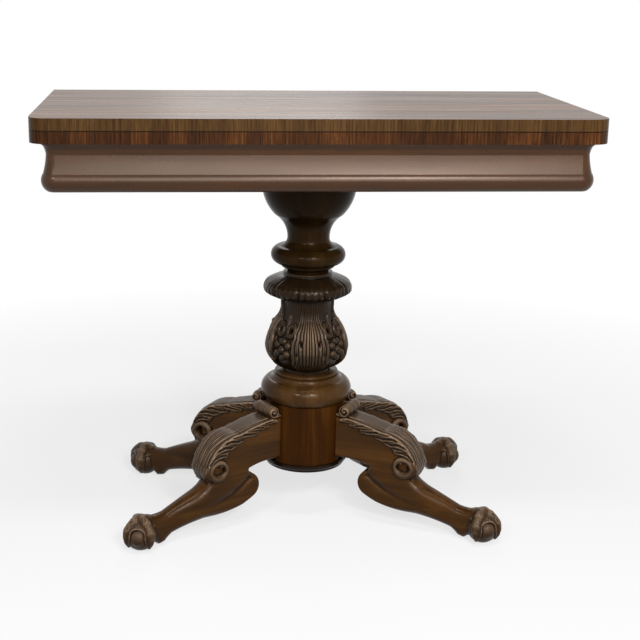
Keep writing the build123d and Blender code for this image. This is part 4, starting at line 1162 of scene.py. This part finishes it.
# Playing cloth
cloth_corner, cloth_corner_steps = 26.0, 10
cloth_rows = 24
cloth_sink = 0.07
cloth_wave, wave_length, wave_width = 0.06, 37.0, 29.0


def cloth_outline(low, high):
    """A rectangle with its two front corners rounded."""
    corners = []
    for cx, start in ((high[0] - cloth_corner, -90), (low[0] + cloth_corner, 180)):
        angles = [math.radians(start + 90 * i / cloth_corner_steps) for i in range(cloth_corner_steps + 1)]
        cy = low[1] + cloth_corner
        corners.append([(cx + cloth_corner * math.cos(a), cy + cloth_corner * math.sin(a)) for a in angles])
    return np.array(corners[0] + [(high[0], high[1]), (low[0], high[1])] + corners[1])


def cloth_mesh(name, node, up):
    """A thin sheet with two round corners, a little uneven, as laid in its recess."""
    low, high = low_mm(node), high_mm(node)
    outline = cloth_outline(low, high)
    sides = len(outline)
    middle = np.array([(low[0] + high[0]) / 2, (low[1] + high[1]) / 2])
    rings = []
    for row in range(cloth_rows + 1):
        share = 1 - row / (cloth_rows + 1)
        rings.append(np.column_stack([middle + (outline - middle) * share, np.zeros(sides)]))
    points = np.concatenate(rings)
    wave = cloth_wave * np.sin(points[:, 0] / wave_length) * np.sin(points[:, 1] / wave_width)
    shown, hidden, inward = (high[2], low[2], -1) if up else (low[2], high[2], 1)
    points[:, 2] = shown + inward * (cloth_sink + wave)
    first = len(points)
    hem = np.column_stack([outline, np.full(sides, hidden)])
    j = np.arange(sides)
    k = (j + 1) % sides
    quads = np.concatenate([tube_quads(cloth_rows + 1, sides), np.stack([j, first + j, first + k, k], 1)])
    inner = list(range(cloth_rows * sides, first))
    under = list(range(first, first + sides))[::-1]
    mesh = build_mesh(name, np.concatenate([points, hem]), quads, [inner, under])
    if not up:
        mesh.flip_normals()
    return mesh


def make_cloths():
    for name, node, body, up in (
        ("lower_playing_cloth", "lower_baize", "lower_top", True),
        ("upper_playing_cloth", "upper_baize", "upper_top", False),
    ):
        piece = place(name, cloth_mesh(name, node, up), green_cloth, node, body)


# Materials of the nodes that stay


def ease_edges(node, width):
    """A small rounding on a leaf's sharp edges, so that the seam between the leaves shows as a line."""
    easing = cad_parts[node].modifiers.new("eased_edges", "BEVEL")
    easing.width = width
    easing.segments = 2
    easing.limit_method = "ANGLE"
    easing.angle_limit = math.radians(40)


def dress_nodes():
    for node in ("upper_leaf", "lower_leaf"):
        ease_edges(node, leaf_easing)
    for nodes, material in (
        (("upper_leaf",), wood_upper_leaf),
        (("lower_leaf",), wood_lower_leaf),
        (("frieze_front",), wood_frieze),
        (("frieze_left", "frieze_right"), wood_frieze_end),
        (("drum",), wood_drum),
        (("base_disc",), wood_disc),
        (("back_rail", "well_bottom", "well_cleats", "corner_blocks"), wood_inner_x),
        (("centre_bearer", "pivot_bearer", "well_divider", "column_wedge", "stop_block"), wood_inner_y),
        (("lower_hinge_plates", "upper_hinge_plates", "hinge_links", "pivot_bush"), brass),
        (("lower_hinge_pins", "upper_hinge_pins", "lower_hinge_screws", "upper_hinge_screws"), brass),
        (("pivot_bolt", "pivot_screws", "pivot_washer", "pivot_nut", "stop_screw", "bearer_screws"), iron),
    ):
        for node in nodes:
            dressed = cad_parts[node]
            for slot in dressed.material_slots:
                slot.link = "OBJECT"
                slot.material = material


# Floor, light and camera, in metres
floor_half = 30.0
floor_dim, floor_pale = (0.12, 0.12, 0.12), (0.95, 0.95, 0.95)
shading_start, shading_end, shading_share = 0.6, 1.7, 0.68
world_light = 0.16


def seen_directly(tree):
    """1 for what the camera, a reflection or glass shows, and 0 for the light that a surface throws back."""
    path = add(tree, "LightPath").outputs
    seen = maths(tree, "ADD", path["Is Camera Ray"], path["Is Glossy Ray"])
    return maths(tree, "ADD", seen, path["Is Transmission Ray"], clamp=True)


def blended(tree, factor, first, second):
    """Two shaders mixed by a factor."""
    made = add(tree, "MixShader", {0: factor, 1: first.outputs[0], 2: second.outputs[0]})
    return made.outputs[0]


def make_floor():
    """A wide pale floor that shades off to the white background."""
    mesh = bpy.data.meshes.new("floor")
    corners = [(a * floor_half, b * floor_half, 0) for a, b in ((-1, -1), (1, -1), (1, 1), (-1, 1))]
    mesh.from_pydata(corners, [], [(0, 1, 2, 3)])
    floor = new_object("floor", mesh)
    material, tree, shader = new_material("pale_floor")
    colour = mixed(tree, seen_directly(tree), floor_dim, floor_pale)
    fill(tree, shader, {"Base Color": colour, "Roughness": 0.9, "Specular IOR Level": 0.0})
    where = add(tree, "TexCoord").outputs["Object"]
    distance = add(tree, "VectorMath", {0: where}, operation="LENGTH").outputs["Value"]
    far = between(tree, distance, shading_start, shading_end, shading_share, 1.0)
    background = add(tree, "Emission", {"Color": white, "Strength": 1.0})
    surface = blended(tree, times(tree, far, seen_directly(tree)), shader, background)
    fill(tree, tree.get_output_node("ALL"), {"Surface": surface})
    mesh.materials.append(material)


def make_world():
    world = bpy.data.worlds.new("studio")
    world.use_nodes = True
    tree = world.node_tree
    tree.nodes.clear()
    soft = add(tree, "Background", {"Color": white, "Strength": world_light})
    bright = add(tree, "Background", {"Color": white, "Strength": 1.0})
    add(tree, "OutputWorld", {"Surface": blended(tree, seen_directly(tree), soft, bright)})
    bpy.context.scene.world = world


def lamp(name, place_m, aim_m, size_m, watts):
    data = bpy.data.lights.new(name, "AREA")
    data.shape = "RECTANGLE"
    data.size, data.size_y = size_m
    data.energy = watts
    made = new_object(name, data)
    made.location = place_m
    made.rotation_mode = "QUATERNION"
    made.rotation_quaternion = (Vector(aim_m) - Vector(place_m)).to_track_quat("-Z", "Y")


def make_lamps():
    lamp("key_left", (-1.3, -2.5, 1.9), (0, 0, 0.5), (0.35, 0.14), 18)
    lamp("key_right", (0.55, -2.5, 1.9), (0, 0, 0.5), (0.4, 0.14), 26)
    lamp("window", (0.32, -2.7, 1.45), (0.1, 0, 0.65), (1.9, 1.2), 42)
    lamp("overhead", (0.05, -0.9, 2.8), (0, 0, 0.6), (1.2, 0.4), 18)
    lamp("rear_glare", (0.1, 2.9, 1.7), (0, 0, 0.7), (0.8, 0.8), 3)
    lamp("rear_fill", (0.1, 2.6, 2.6), (0, 0, 0.5), (1.2, 0.8), 7)


camera_place = (-0.224, -2.225, 0.981)
camera_yaw = 4.49
camera_pitch = 14.90
camera_roll = 0.67
camera_lens = 72.34
camera_sensor = 36.0
camera_shift = (0.0625, -0.0234)


def make_camera():
    data = bpy.data.cameras.new("camera")
    data.sensor_width = camera_sensor
    data.lens = camera_lens
    data.shift_x, data.shift_y = camera_shift
    yaw, pitch, roll = (math.radians(v) for v in (camera_yaw, camera_pitch, camera_roll))
    aim = Matrix.Rotation(-yaw, 4, "Z") @ Matrix.Rotation(math.pi / 2 - pitch, 4, "X")
    camera = new_object("camera", data)
    camera.matrix_world = Matrix.Translation(camera_place) @ aim @ Matrix.Rotation(roll, 4, "Z")
    bpy.context.scene.camera = camera


make_column()
make_moulding()
make_collar()
make_baluster()
make_legs()
make_cloths()
dress_nodes()
make_floor()
make_world()
make_lamps()
make_camera()
bpy.context.scene.view_settings.view_transform = "Standard"
